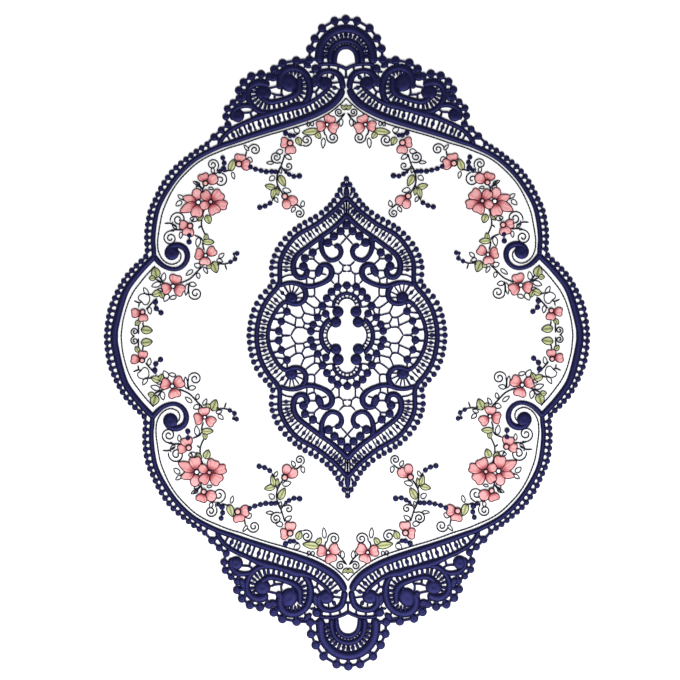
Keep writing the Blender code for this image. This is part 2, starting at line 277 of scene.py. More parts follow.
def sweep(line, section, tall, low=0.0, closed=False, furrow=0.0, slant=0.0, twist=0.0):
    """Mesh of a bar along rows of x, y and width: points, faces and thread coordinates, in millimetres."""
    xy = line[:, :2]
    if closed:
        way = np.roll(xy, -1, axis=0) - np.roll(xy, 1, axis=0)
    else:
        way = np.gradient(xy, axis=0)
    way /= np.linalg.norm(way, axis=1)[:, None]
    left = np.stack([-way[:, 1], way[:, 0]], 1)
    along = walked(line)
    half = line[:, 2] / 2
    high = np.full(len(line), float(tall))
    if not closed:
        to_end = np.minimum(along, along[-1] - along) / half
        rounding = np.sqrt(1 - (1 - np.clip(to_end, 0, 1)) ** 2).clip(END_WIDE)
        half = half * rounding
        high = high * (END_HIGH + (1 - END_HIGH) * rounding)
    swell = 1 - furrow * (np.arange(len(line)) % 2)
    across = (half * swell)[:, None] * section[None, :, 0]
    points = np.empty((len(line), len(section), 3))
    leaning = way[:, None] * (slant * across)[..., None]
    points[..., :2] = xy[:, None] + left[:, None] * across[..., None] + leaning
    points[..., 2] = low + (high * swell)[:, None] * section[None, :, 1]
    sides = len(section)
    around = np.arange(sides) / sides * twist
    coords = np.stack([along[:, None] + slant * across + around, across], -1)
    faces = []
    for k in range(len(line) if closed else len(line) - 1):
        here = k * sides
        there = (k + 1) % len(line) * sides
        for s in range(sides):
            n = (s + 1) % sides
            faces.append((here + s, there + s, there + n, here + n))
    if not closed:
        last = (len(line) - 1) * sides
        faces.append(tuple(range(sides)))
        faces.append(tuple(range(last + sides - 1, last - 1, -1)))
    return points.reshape(-1, 3), faces, coords.reshape(-1, 2)


def satin(rows, tall=LACE_HIGH, closed=False):
    """A padded bar of satin stitch."""
    line = smooth_line(rows, SATIN_STEP, closed)
    if closed and len(line) % 2:
        line = line[:-1]
    return sweep(line, DOME, tall, closed=closed, furrow=SATIN_FURROW, slant=SATIN_SLANT)


def satins(rows, ways=QUARTERS, tall=LACE_HIGH):
    """The same padded bar worked each way."""
    return [satin(line, tall) for line in mirrored(rows, ways)]


def stud_model():
    """A padded dot of satin stitch: a short cylinder, inset in steps to a dome with a shallow dimple."""
    bpy.ops.mesh.primitive_cylinder_add(
        vertices=STUD_CORNERS, radius=1, depth=STUD_SIDE, location=(0, 0, STUD_SIDE / 2)
    )
    stud = bpy.context.object
    bpy.ops.object.transform_apply(location=True)
    bpy.ops.object.mode_set(mode="EDIT")
    bpy.ops.mesh.select_all(action="DESELECT")
    cage = bmesh.from_edit_mesh(stud.data)
    for face in cage.faces:
        face.select = face.normal.z > 0.9
    bmesh.update_edit_mesh(stud.data)
    for inwards, up in STUD_INSETS:
        bpy.ops.mesh.inset(thickness=inwards, depth=up)
    bpy.ops.object.mode_set(mode="OBJECT")
    points = np.array([vertex.co for vertex in stud.data.vertices])
    faces = [tuple(polygon.vertices) for polygon in stud.data.polygons]
    bpy.data.objects.remove(stud)
    return points, faces


STUD = stud_model()


def dots(rows, tall, low=0.0):
    """Padded dots at rows of x, y, half length, half width and turn; a row of three is round."""
    parts = []
    for row in rows:
        x, y, long, wide, turn = row if len(row) == 5 else (*row, row[2], 0.0)
        turn = math.radians(turn)
        local = STUD[0] * (long, wide, tall)
        points = local.copy()
        points[:, 0] = x + local[:, 0] * math.cos(turn) - local[:, 1] * math.sin(turn)
        points[:, 1] = y + local[:, 0] * math.sin(turn) + local[:, 1] * math.cos(turn)
        points[:, 2] += low
        parts.append((points, STUD[1], local[:, :2] + (x, y)))
    return parts


def in_quarters(rows):
    """Rows of dots in all four quarters, where none is doubled on an axis."""
    found = {}
    for row in rows:
        for across, along in QUARTERS:
            image = [row[0] * across, row[1] * along, *row[2:]]
            if len(row) == 5:
                image[4] = row[4] * across * along
            found[round(image[0], 2) + 0.0, round(image[1], 2) + 0.0] = tuple(image)
    return list(found.values())


def sew(name, parts, material, tones=None):
    """Join parts into one piece of the doily that rides on it, with its thread coordinates as UV map."""
    points, faces, coords = [], [], []
    start = 0
    for part in parts:
        points.append(part[0])
        coords.append(part[2])
        faces += [tuple(corner + start for corner in face) for face in part[1]]
        start += len(part[0])
    mesh = bpy.data.meshes.new(name)
    mesh.from_pydata((np.concatenate(points) * MM).tolist(), [], faces)
    corners = np.empty(len(mesh.loops), np.int32)
    mesh.loops.foreach_get("vertex_index", corners)
    coords = np.concatenate(coords)[corners].astype(np.float32)
    mesh.uv_layers.new(name="threads").data.foreach_set("uv", coords.ravel())
    if tones is not None:
        tone = mesh.attributes.new("tone", "FLOAT", "POINT")
        tone.data.foreach_set("value", np.concatenate(tones).astype(np.float32))
    mesh.shade_smooth()
    mesh.materials.append(material)
    piece = bpy.data.objects.new(name, mesh)
    bpy.context.scene.collection.objects.link(piece)
    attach(piece, "root")
    return piece


# Finish, in the millimetres of the UV map: how often the stripes wander and the dye drifts, how much of the
# colour a toned piece takes from them, and how deep the stripes are.
WANDER_PER_MM = 0.35
DRIFT_PER_MM = 0.8
TONED_SHARE = 0.4
STRIPE_RELIEF = 0.15


def thread_finish(name, colours, pitch, mottle=0.5, spread=0.5, toned=False, gloss=0.2, glint="FFFFFF"):
    """Stitched rayon thread: stripes across the UV map's first axis, with the given pitch in millimetres.

    The colours run from the threads' shaded side to their lit one; on toned pieces they follow the tone.
    Mottle is the share of uneven dye in them, which is the streakier the less its spread.
    """
    material, tree, shader = material_for(name)
    lay = node(tree, "ShaderNodeUVMap", uv_map="threads")
    axes = node(tree, "ShaderNodeSeparateXYZ", {0: lay.outputs[0]})
    noise = {"Vector": lay.outputs[0], "Scale": WANDER_PER_MM, "Detail": 2.0}
    wander = node(tree, "ShaderNodeTexNoise", noise)
    shift = node(tree, "ShaderNodeMath", {0: wander.outputs["Fac"], 1: pitch}, operation="MULTIPLY")
    moved = node(tree, "ShaderNodeMath", {0: axes.outputs["X"], 1: shift.outputs[0]}, operation="ADD")
    rate = 2 * math.pi / pitch
    turns = node(tree, "ShaderNodeMath", {0: moved.outputs[0], 1: rate}, operation="MULTIPLY")
    wave = node(tree, "ShaderNodeMath", {0: turns.outputs[0]}, operation="SINE")
    stripe = node(tree, "ShaderNodeMapRange", {0: wave.outputs[0], 1: -1.0, 2: 1.0})
    along = node(tree, "ShaderNodeCombineXYZ", {0: axes.outputs["X"]})
    noise = {"Vector": along.outputs[0], "Scale": DRIFT_PER_MM, "Detail": 4.0}
    drift = node(tree, "ShaderNodeTexNoise", noise)
    streak = node(tree, "ShaderNodeMapRange", {0: drift.outputs["Fac"], 1: 0.5 - spread, 2: 0.5 + spread})
    # The stripes paint shade into the colour of plain pieces, darker at each thread's sides and lighter along
    # its top, and on toned pieces shift the tone from thread to thread; the drift is uneven dye.
    both = {0: mottle, 2: stripe.outputs[0], 3: streak.outputs[0]}
    share = node(tree, "ShaderNodeMix", both, data_type="FLOAT")
    if toned:
        tone = node(tree, "ShaderNodeAttribute", attribute_name="tone")
        sum_of = {0: share.outputs[0], 1: TONED_SHARE, 2: tone.outputs["Fac"]}
        share = node(tree, "ShaderNodeMath", sum_of, operation="MULTIPLY_ADD")
    dye_and_painted_shade = node(tree, "ShaderNodeValToRGB", {0: share.outputs[0]})
    stops = dye_and_painted_shade.color_ramp.elements
    for colour, place in zip(colours[1:-1], np.linspace(0, 1, len(colours))[1:-1]):
        stops.new(place).color = linear(colour)
    stops[0].color = linear(colours[0])
    stops[-1].color = linear(colours[-1])
    height = {"Height": stripe.outputs[0], "Strength": 0.5, "Distance": STRIPE_RELIEF * MM}
    relief = node(tree, "ShaderNodeBump", height)
    feed(tree, shader, {"Base Color": dye_and_painted_shade.outputs[0], "Normal": relief.outputs[0], "Roughness": 0.48})
    feed(tree, shader, {"Specular IOR Level": gloss, "Specular Tint": linear(glint)})
    feed(tree, shader, {"Sheen Weight": 0.03, "Sheen Tint": linear(glint)})
    return material


# Rayon reads as a deep blue-violet navy with a soft sheen where the threads turn to the light. Threads of
# 0.3 mm are drawn 0.9 mm apart, so that the lay of the stitches shows; the darker colour is painted shade
# between them and the lighter one a painted highlight along their tops.
navy = thread_finish("navy_rayon_satin", ("03040D", "0C0D26"), 0.9, gloss=0.7, glint="8888FF")

band_parts = satins(carried_over(SIDE_BAND, SHORT_AXIS), LEFT_RIGHT) + satins(CORNER_BAND) + satins(SCROLL)
band_parts += dots(in_quarters(SCROLL_DISC), LACE_HIGH)
border_band = sew("border_satin_band", band_parts, navy)
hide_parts("border")


# ---- Border picots ----
# Small knots of the same navy thread round the sides and corners, strung on a chain and held off the band by
# short legs with openings between them.

PICOT_R = 1.75
PICOT_PITCH = 4.05
PICOT_TALL = 1.6
LEG_WIDE = 1.75
LEG_MIDDLE = 0.8
CHAIN_WIDE = 1.3
CHAIN_INSET = 0.25
SEEK_STEP = 0.5
# Line through the middles of the picots, from the short axis to the crest's foot (x, y).
PICOT_LINE = (
    (146.5, 0), (145.9, 7.5), (144.5, 16), (141.8, 23.5), (138.3, 30.7), (134.2, 37.3), (128.8, 43.3),
    (122.6, 49.6), (122.3, 55), (122.6, 62), (121.9, 69.9), (120.3, 77.8), (117, 85.3), (113.9, 91.9),
    (109.5, 98.9), (104.6, 104.7), (99, 109.4), (93.4, 113.8), (85.9, 118.9),
)


def thread(rows, thick, middle, step=1.0, closed=False):
    """A round thread or narrow bar through rows of x and y, its middle that high; a wide one is flattened."""
    line = smooth_line([(row[0], row[1], thick) for row in rows], step, closed)
    tall = min(thick, 2 * middle)
    return sweep(line, ROUND, tall, middle - tall / 2, closed, twist=THREAD_TWIST)


def threads(rows, thick, middle, ways=QUARTERS, step=1.0, closed=False):
    """The same thread worked each way."""
    return [thread(line, thick, middle, step, closed) for line in mirrored(rows, ways)]


def nearest(point, lines):
    """The point on any of the lines that lies nearest to the given one."""
    spots = np.concatenate([line[:, :2] for line in lines])
    return spots[np.argmin(np.linalg.norm(spots - point, axis=1))]


def ways_for(x, y):
    """Ways to work what stands at a point, so that nothing is doubled on an axis."""
    if x < ON_AXIS:
        return UP_DOWN
    return QUARTERS if y > ON_AXIS else LEFT_RIGHT


band_lines = [smooth_line(SIDE_BAND, SEEK_STEP), smooth_line(CORNER_BAND, SEEK_STEP)]
picots = smooth_line(PICOT_LINE, PICOT_PITCH)
picot_parts = dots(in_quarters([(x, y, PICOT_R) for x, y in picots]), PICOT_TALL)
chain = []
for picot in picots:
    foot = nearest(picot, band_lines)
    picot_parts += threads((picot, foot), LEG_WIDE, LEG_MIDDLE, ways_for(*picot))
    chain.append(picot + (foot - picot) * CHAIN_INSET / math.dist(picot, foot))
picot_parts += threads(carried_over(chain, SHORT_AXIS), CHAIN_WIDE, LEG_MIDDLE, LEFT_RIGHT)
sew("border_picots", picot_parts, navy)


# ---- Crests ----
# Openwork at either end of the doily: satin tapes wound into scrolls, ladders of rungs between them, a domed
# crown over an arched hole, and large beads round the edge, all in the same navy thread.

CREST_BAR = 1.5
DISC_HIGH = LACE_HIGH - 0.05
BEAD_TALL = PICOT_TALL + 0.1
BEAD_LINK = 1.7
BEAD_LINK_STEP = 2.0
BEAD_LEG = 2.4
# Ladders: spots in each millimetre of their length, the rungs' grip on the bands and the step between their
# sections, and the knots' height, length in half widths, and the length of rung above which there is one.
LADDER_SPOTS = 5
RUNG_GRIP = 0.9
RUNG_STEP = 1.6
RUNG_KNOT_TALL = 1.45
RUNG_KNOT_LONG = 1.15
KNOTTED_FROM = 2
# Tapes (x, y, width): the foot of the crest wound over into its first scroll, the ladder's upper edge, the
# second and third scrolls with the tapes that lead into them, and the small end scroll.
CREST_TAPES = (
    ((2.3, 153.2, 4), (2.2, 156, 4.2), (2.9, 159, 4.3), (4, 161.8, 4.4), (6, 163.6, 4.2), (8.9, 164.7, 3.8),
     (12, 164.9, 3.8), (15.2, 163.8, 4.2), (17.3, 161.2, 4.8), (17.6, 157.8, 4.8), (16.2, 155.2, 4)),
    ((10.4, 155, 2.8), (12.4, 152.4, 2.8), (15, 150, 2.8), (18.4, 147.4, 2.8), (22.2, 145.1, 3.2),
     (27, 143.5, 4.6), (31.5, 142.8, 5.4), (36, 141.3, 4.8), (40.5, 139.9, 4), (45, 138.7, 4.6),
     (49.5, 137.7, 5.4), (54, 136.1, 4.4), (58.5, 134.1, 3.4), (63, 132.1, 3.2), (67.5, 130, 3.2),
     (71.7, 127.5, 3.2), (75, 124.5, 3.2), (77.4, 121.2, 3.2), (78.8, 117.8, 3)),
    ((26.5, 144.4, 3.8), (23.7, 147.8, 4.2), (22.6, 151.8, 4.6), (22.6, 156, 4.8), (23.6, 160.2, 4.8),
     (25.6, 163.6, 4.6), (29, 166, 4.9), (33, 166.9, 5.2), (36.8, 166.1, 5.4), (39.5, 163.8, 5.5),
     (40.7, 160.7, 5.4), (40.7, 157.5, 5), (39.2, 155, 4.2)),
    ((29, 161.5, 3), (28.8, 157, 4.4), (29.2, 152.8, 4.8), (31.9, 149.7, 4.4), (36.6, 147.6, 4),
     (42, 146, 3.8), (46.8, 145.3, 4.1), (50.4, 146.8, 4), (52.4, 148.8, 3.6)),
    ((48.5, 138.8, 3.6), (52.8, 139.3, 3.8), (56.1, 141.1, 3.9), (58.7, 144, 4), (60.3, 147.4, 4.1),
     (60.7, 151.2, 4.3), (59.6, 154.7, 4.6), (56.9, 157, 5), (53.4, 157.8, 5.4), (50.1, 157, 5.4),
     (47.9, 155.2, 4.4)),
    ((57, 142, 3), (60, 143, 3.2), (63.5, 143.1, 3.4), (66.9, 142.1, 3.6), (69.5, 139.8, 3.6),
     (70.5, 136.6, 3.5), (69.4, 133.8, 3)),
)
# Solid discs at the hearts of the scrolls (x, y, half length, half width, turn).
CREST_DISCS = (
    (13.1, 157, 4.8, 4.4, 0), (35.4, 157.4, 5.9, 5.4, 60), (51.3, 151.2, 5.1, 4.7, 0),
    (67.1, 136.9, 4.3, 4.2, 0), (18.8, 166.4, 2.8, 2.7, 0), (19.6, 158.4, 4, 2, 92),
    (44.8, 160.8, 3, 2.4, -20), (63.2, 148.9, 3.6, 2.1, 110), (24, 168.6, 2.8, 1.8, 35),
    (41.3, 155.6, 2.2, 2.2, 0),
)
# Crown: a rim round the arched hole, the solid arch over it, the outer arch and its foot (x, y, width).
CROWN_TAPES = (
    ((0, 180.3, 3.6), (2.8, 179.7, 3.4), (5.5, 177.4, 3.4), (6.8, 173.6, 3.3), (6.9, 169.4, 3)),
    ((0, 184.2, 3.6), (4.8, 183, 3.6), (8.2, 179.9, 3.6), (9.8, 175, 3.8), (9.9, 169.6, 4)),
    ((0, 191.8, 5.6), (6.7, 190.4, 5.7), (12.3, 186.2, 5.8), (15.6, 180.7, 5.8), (16.5, 174.6, 6),
     (16.3, 169.4, 6.2)),
    ((0, 166.4, 2.6), (2.8, 167.6, 2.5), (6.4, 168.8, 2.5), (10.5, 169.2, 2.5), (14.5, 169.1, 2.5),
     (17.8, 167.9, 2.4)),
)
# Ladders: width of the rungs, half width of the knot on every second one (0 for none), the middle line with
# the length of the rungs (x, y, length), and the places of the rungs along it.
CREST_LADDERS = (
    (1.4, 1.35,
     ((13.4, 162, 1.6), (10.4, 161.8, 2), (7.8, 160.2, 3), (6.8, 157.2, 4.2), (7.2, 154, 4.6), (9, 151, 5),
      (12.5, 147.1, 5.2), (20.4, 141.6, 5.4), (30.9, 137.9, 5.8), (42.4, 134.6, 6.4), (54.5, 130.9, 6.4),
      (64.5, 127, 5.8), (71, 123.9, 4.6), (74.8, 121.7, 3.2)),
     (1.8, 5.3, 9.2, 12.5, 15.6, 18.2, 20.8, 23.6, 26.2, 28.8, 31.9, 35.1, 38, 41, 43.8, 46.8, 50.1, 53.3,
      56.1, 59.6, 62.5, 65.7, 69.1, 71.9, 74.7, 77.9, 80.3, 83.3, 86.6)),
    (1.9, 1,
     ((38.2, 160.6, 2), (36.6, 162.6, 2.4), (34, 163.9, 2.8), (31, 164, 2.8), (28.2, 162.4, 2.6),
      (26.3, 159.2, 2.6), (25.7, 155.8, 2.6), (26, 152.6, 2.8), (27.2, 149.6, 2.8), (29.5, 147.2, 2.8),
      (32.5, 145.4, 3), (36.3, 143.9, 3.4), (40, 142.8, 3.6), (43.5, 142.2, 3.8), (47, 141.9, 4),
      (50.5, 142.4, 4), (53.6, 143.8, 3.8), (56, 146, 3.4), (57.5, 148.8, 3.2), (57.8, 151.8, 3),
      (56.6, 154.1, 2.2), (54.2, 155.5, 1.4)),
     (0.8, 3.2, 5.6, 8, 10.5, 13.1, 15.8, 18.5, 21.2, 23.9, 26.6, 29.3, 32.1, 35.2, 38.4, 41.7, 44.8, 47.9,
      50.4, 53.1, 55.5, 58.2, 60.9, 63.8, 66.5)),
)
CROWN_LADDERS = (
    (2.1, 1.3,
     ((0, 187.5, 3.2), (5.2, 186.4, 3.2), (9.2, 183.3, 3), (11.7, 179, 2.6), (12.6, 174.5, 2.4),
      (12.6, 170.5, 2)),
     (0.2, 2.9, 5.7, 8.3, 11, 13.6, 16.1, 18.6, 21)),
    (1.3, 0, ((0, 182.3, 0.8), (3.9, 181.2, 0.8), (6.6, 178.4, 0.6), (7.6, 175, 0.4)), (1, 3, 5, 7)),
)
# Bars of the crest's net, each a line of points (x, y), and the two at the long axis.
CREST_BARS = (
    ((16.4, 155), (18.7, 151.6), (21.6, 151.8)), ((18.7, 151.6), (18, 148)), ((19.2, 163.8), (23, 164.3)),
    ((23.4, 170.6), (26.2, 166.6)), ((41, 155.4), (49, 153.6)),
    ((39.6, 154), (40, 151.2), (39.4, 149.4), (38, 147.6)), ((39.4, 149.4), (43.8, 149.8), (46.4, 151)),
    ((43.8, 149.8), (44.6, 147)), ((32.2, 155), (33.4, 150.4)), ((42.2, 160.4), (47, 161)),
    ((57, 140.6), (59.2, 138.8), (64, 138.4)), ((59.2, 138.8), (57.8, 134)), ((4.7, 165), (5, 168)),
    ((10.6, 165), (10.6, 168.6)), ((15.4, 164.6), (16, 168.2)), ((20, 162.6), (20.6, 168.4)),
    ((22.4, 170.8), (30, 169.6)), ((62.2, 157), (60.6, 152.4)), ((61.4, 151), (65, 150.6)),
    ((61, 147.4), (66, 147)), ((60.6, 144.4), (69, 143.6)), ((44.4, 164.8), (41.6, 162.6)),
)
AXIS_BARS = (((-2.4, 160.6), (2.4, 160.6)), ((0, 166), (0, 160.2)))
# Beads round the crest, from its foot to its top (x, y, radius).
CREST_BEADS = (
    (81.6, 123.4, 2.4), (77.2, 127.8, 2.2), (73, 131.1, 2.3), (74.4, 136.2, 2.3), (73.6, 141.2, 2.2),
    (70, 145.1, 2.1), (66.2, 147.8, 2.3), (66.4, 152.8, 2.6), (63.5, 157.9, 2.6), (58.7, 161.7, 2.7),
    (52.6, 163, 2.7), (47.5, 161.5, 2.6), (44.5, 166.1, 2.7), (39.3, 169.9, 2.8), (30.8, 171.5, 2.8),
    (22.7, 172, 2.7), (22.2, 178.9, 2.7), (19.4, 185.5, 2.7), (14.8, 192.1, 2.7), (7, 196.7, 2.7),
    (0, 197.8, 2.8),
)


def ladder(wide, knot, rows, places):
    """Rungs across a ladder's middle line at places along it, every second one knotted in its middle."""
    line = smooth_line(rows, 1 / LADDER_SPOTS)
    way = np.gradient(line[:, :2], axis=0)
    way /= np.linalg.norm(way, axis=1)[:, None]
    parts = []
    for k, place in enumerate(places):
        spot = min(round(place * LADDER_SPOTS), len(line) - 1)
        (x, y, long), (dx, dy) = line[spot], way[spot]
        reach = long / 2 + RUNG_GRIP
        ends = ((x - dy * reach, y + dx * reach), (x, y), (x + dy * reach, y - dx * reach))
        parts.append(thread(ends, wide, LEG_MIDDLE, RUNG_STEP))
        if knot and k % 2 and long > KNOTTED_FROM:
            turn = math.degrees(math.atan2(dx, -dy))
            parts += dots([(x, y, knot * RUNG_KNOT_LONG, knot, turn)], RUNG_KNOT_TALL)
    return parts


def ladders(tables):
    """Each ladder in all four quarters."""
    parts = []
    for wide, knot, rows, places in tables:
        for line in mirrored(rows):
            parts += ladder(wide, knot, line, places)
    return parts


crest_parts = []
for tape in CREST_TAPES:
    crest_parts += satins(tape)
for tape in CROWN_TAPES:
    crest_parts += satins(carried_over(tape, LONG_AXIS), UP_DOWN)
crest_parts += dots(in_quarters(CREST_DISCS), DISC_HIGH)
crest_parts += ladders((*CREST_LADDERS, *CROWN_LADDERS))
for bar in CREST_BARS:
    crest_parts += threads(bar, CREST_BAR, LEG_MIDDLE)
for bar in AXIS_BARS:
    crest_parts += threads(bar, CREST_BAR, LEG_MIDDLE, UP_DOWN)
sew("crest_tapes_and_ladders", crest_parts, navy)

crest_lines = [smooth_line(tape, SEEK_STEP) for tape in (CORNER_BAND, *CREST_TAPES, *CROWN_TAPES)]
bead_parts = dots(in_quarters(CREST_BEADS), BEAD_TALL)
for line in mirrored([picots[-1], *[bead[:2] for bead in CREST_BEADS]]):
    for link in zip(line, line[1:]):
        bead_parts.append(thread(link, BEAD_LINK, LEG_MIDDLE, BEAD_LINK_STEP))
for x, y, _ in CREST_BEADS:
    leg = ((x, y), nearest((x, y), crest_lines))
    bead_parts += threads(leg, BEAD_LEG, LEG_MIDDLE, ways_for(x, y), RUNG_STEP)
sew("crest_beads", bead_parts, navy)


# ---- Medallion ----
# Almond-shaped openwork of the same thread, sewn into the middle: satin bands with ladders between them,
# tapes wound into scrolls, studs, and a net of fine bars round a four-lobed hole with a double rim.

NET_WIDE = 1.1
RIM_TALL = 1.5
FINE_BAR = 0.95
# Studs further than this from every tape hang in the net alone.
STUD_LEG = 7
# Upper inner band wound into its end scroll (x, y, width).
UPPER_INNER = (
    (0, 73.9, 4.2), (3.2, 70.9, 3.8), (6.1, 68.3, 3.6), (9.4, 65.5, 3.4), (12.9, 63, 3.4), (16.6, 60.4, 3.5),
    (20.5, 57.5, 3.5), (23.8, 55, 3.4), (27, 52.6, 3.5), (29.8, 50.1, 3.7), (31.7, 47.2, 3.9),
    (32.7, 43.6, 4), (32.4, 39.8, 4.1), (30.7, 36.9, 3.8), (28.1, 35.8, 3.7), (25.5, 36.7, 4),
    (24.4, 39.3, 4.1), (25.2, 41.9, 4),
)
# Tapes in a quarter (x, y, width): the loop that runs on over the fan, the fan's ring with the lower inner
# band, and the round loop near the long axis.
MEDALLION_TAPES = (
    ((17.2, 41.6, 3.4), (15.2, 43.4, 3.6), (12, 43.4, 3.8), (9.7, 41.2, 4.1), (9.3, 38, 4.1), (10.9, 35, 3.9),
     (14.2, 32.7, 3.5), (18.3, 31.1, 3.5), (22, 30.3, 3.6), (25.6, 30.5, 3.6), (29.2, 31.7, 3.5),
     (33.2, 32.6, 3.1), (37.4, 32.1, 3), (41.3, 30.6, 2.9)),
    ((28, 31.2, 3.6), (25.7, 28.3, 3.8), (25.1, 24.9, 3.7), (26.2, 21.9, 3.6), (29, 19.8, 3.5),
     (32.8, 19.6, 3.5), (36.8, 20.9, 3.2), (40.1, 19.3, 2.9), (43.3, 15.3, 2.8), (45.9, 10.4, 2.8),
     (47.5, 5.7, 2.8), (48.2, 0, 2.8)),
    ((7.9, 55.4, 3.6), (5.1, 54.9, 3.7), (3.5, 52.1, 3.6), (4.3, 48.8, 3.2), (6.7, 46.9, 3.2),
     (9.6, 46.4, 3.2), (12.2, 47.7, 3.2), (14.2, 50.3, 3.3), (15.4, 53.6, 3.6), (15.7, 57.2, 3.6),
     (14.4, 60.8, 3.6)),
)
# Solid discs in the scrolls, by the hole and at the tip (x, y, half length, half width, turn).
MEDALLION_DISCS = (
    (26.5, 42.5, 2.9, 2.8, 0), (16.9, 40, 4.3, 2.5, -68), (33.9, 23.2, 3.9, 3.7, 0), (16, 60, 2.6, 2.2, -35),
    (5.5, 14.6, 3.6, 3.5, 0), (6.8, 8.2, 3.5, 3.4, 0), (0, 88.2, 4.4, 1.8, 90),
)
# Studs (x, y, radius): strung under the upper inner band, along the lower one, and round the hole.
STUD_STRINGS = (
    ((0, 68, 2.75), (3.7, 64.3, 2.65), (7.8, 61.2, 2.75), (11.5, 57.2, 2.85)),
    ((20.8, 51.1, 2.65), (25.6, 47.6, 2.65)), ((36.6, 14.8, 2.55), (40, 8.8, 2.45), (41.6, 2.9, 2.55)),
    ((0, 30.8, 2.55), (5.7, 29.9, 2.55), (9.4, 26.9, 2.55), (12.3, 22.9, 2.55), (15, 18.1, 2.65),
     (17.9, 11.1, 2.45), (20.6, 6.7, 2.45), (22, 2.8, 2.55)),
    ((15, 18.1, 2.65), (12.9, 13.4, 2.45), (17.9, 11.1, 2.45)),
)
# Double rim of the hole: arcs round the lobes (x, y, radius, from, to, width).
RIM_ARCS = (
    (0, 17.7, 8.2, 90, -4, 2.3), (3.7, 0, 12.1, 58, 0, 3.2), (0, 17.7, 5.3, 90, 10, 1.1),
    (3.7, 0, 8.5, 52, 0, 1.1),
)
# Rungs between the two rims (x, y, middle radius, from, to, count), and how far they reach in and out.
RIM_RUNGS = ((0, 17.7, 6.5, 78, 0, 5), (3.7, 0, 9.6, 57, 9, 5))
RIM_RUNG_IN = 1.4
RIM_RUNG_OUT = 1.2
# Fan of bars: its hub, their angles and their length.
FAN_HUB = (33.9, 23.2)
FAN_ANGLES = (181, 154, 126, 103, 82, 61)
FAN_REACH = 8.2
# Ladders, as at the crests; the upper one has heavier rungs near the tip.
UPPER_LADDER = (
    (1.1, 80.4, 2.6), (3, 77.6, 3.2), (5.5, 75.1, 4), (12.6, 68.8, 4.6), (22.2, 62.4, 4.8), (30.8, 55.2, 5),
    (36.3, 46.6, 5), (37.2, 39.4, 5), (37.5, 36.6, 5),
)
MEDALLION_LADDERS = (
    (1.4, 1.3, UPPER_LADDER, (2.4, 4.7, 6.6, 9)),
    (1, 1.15, UPPER_LADDER,
     (11, 13.3, 15.7, 18.1, 21.1, 23.4, 26.2, 28.4, 30.8, 33.2, 35.9, 38.6, 41.1, 43.8, 45.6, 47.8, 49.6,
      51.7, 53.9, 56)),
    (1, 1.2,
     ((36.6, 28.2, 5), (38.3, 27, 4.8), (40.2, 25.2, 4.6), (46, 18.3, 4.8), (50.1, 9.5, 4.4),
      (51.6, 0.2, 4.4)),
     (0.5, 3.4, 6.3, 9.1, 11.5, 13.9, 16.4, 18.8, 21.3, 23.8, 26.1, 28.4, 30.8, 33.1)),
)
# Bars of the net, each a line of points (x, y).
NET_BARS = (
    ((0, 43.3), (2.1, 43), (5, 45.7)), ((2.1, 43), (2.5, 39.7), (0, 39.3)),
    ((2.5, 39.7), (4.9, 37.7), (7.9, 38.4)), ((4.9, 37.7), (5, 31)), ((7.6, 31.6), (9.8, 33.9)),
    ((0, 60.2), (2.6, 63)), ((0, 60.2), (3.8, 56)), ((16.4, 43.6), (19.7, 46.3), (20, 47), (24.4, 47)),
    ((19.8, 46.6), (20.2, 50)), ((18.6, 39.8), (23.4, 39.8)), ((18.6, 37.6), (20, 34.8), (24.2, 36)),
    ((20, 34.8), (20.2, 31.6)), ((24.5, 35.4), (24.5, 31.6)), ((32.6, 37.4), (37, 36.8), (40.6, 34.8)),
    ((19.8, 30.2), (20, 24.3), (24.4, 24)), ((20, 24.3), (15.6, 19.6)),
    ((25.6, 20.9), (20, 17), (16.6, 17.6)), ((20, 17), (19.8, 12.6), (23.4, 13.1), (26, 14.1), (28.2, 19)),
    ((26, 14.1), (27.6, 11.1), (31, 11.1), (35.2, 13.8)), ((27.6, 11.1), (25.7, 7.6), (21.6, 7)),
    ((25.7, 7.6), (26.5, 4.8), (23.6, 3.6)), ((26.5, 4.8), (31.1, 4.7), (34.3, 0)),
    ((31, 11.1), (31.6, 5.9), (31.1, 4.7)), ((31.6, 5.9), (38.6, 9)), ((34.3, 0), (38.4, 0), (41, 2.2)),
    ((19.8, 12.6), (18.4, 11.6)), ((36.4, 20), (36.5, 15.4)), ((11.6, 18.2), (14.4, 18.2)),
    ((16.8, 54.2), (19.4, 52)), ((37.6, 14.2), (43.6, 13.4)), ((40.6, 9.6), (45.6, 10.2)),
    ((42, 3.5), (47.6, 3.6)), ((26, 45.8), (26.4, 43)), ((28.6, 41), (31.4, 41.4)),
    ((12.2, 37.2), (15.8, 38)), ((0, 75), (0, 84)), ((1.3, 75), (1.5, 82)),
)
# Line through the middles of the picots (x, y), and how far along it each one stands, the last at its end.
MEDALLION_PICOT_LINE = (
    (59.7, 0), (58.9, 7.7), (56.9, 15.7), (52.9, 23.6), (47.4, 29.6), (45.2, 33.4), (45.9, 38), (45.7, 44.5),
    (42.7, 52.7), (38, 59.6), (31.8, 65.6), (25.8, 69.6), (19.1, 73.3), (12.6, 78), (7.6, 83.6), (3.8, 90.3),
    (0, 97),
)
MEDALLION_PICOTS_AT = (
    0, 4, 8.1, 12.1, 16.3, 20.6, 25.2, 29.7, 33.7, 37.3, 41.4, 45.9, 49.7, 53.6, 57.7, 61.8, 66.2, 70.3, 74.5,
    78.1, 81.9, 85.8, 89.5, 93.8, 97.7, 101.1, 104.6, 108.4, 112.2, 116.1, 119.3,
)
PICOT_SPOTS = 10
NECK_WIDE = 1.5
# At the tip: widths of the string, of the bar on the axis and of the one to either side.
TIP_STRING = 1.1
TIP_BAR = 1.0
TIP_STRUT = 1.4


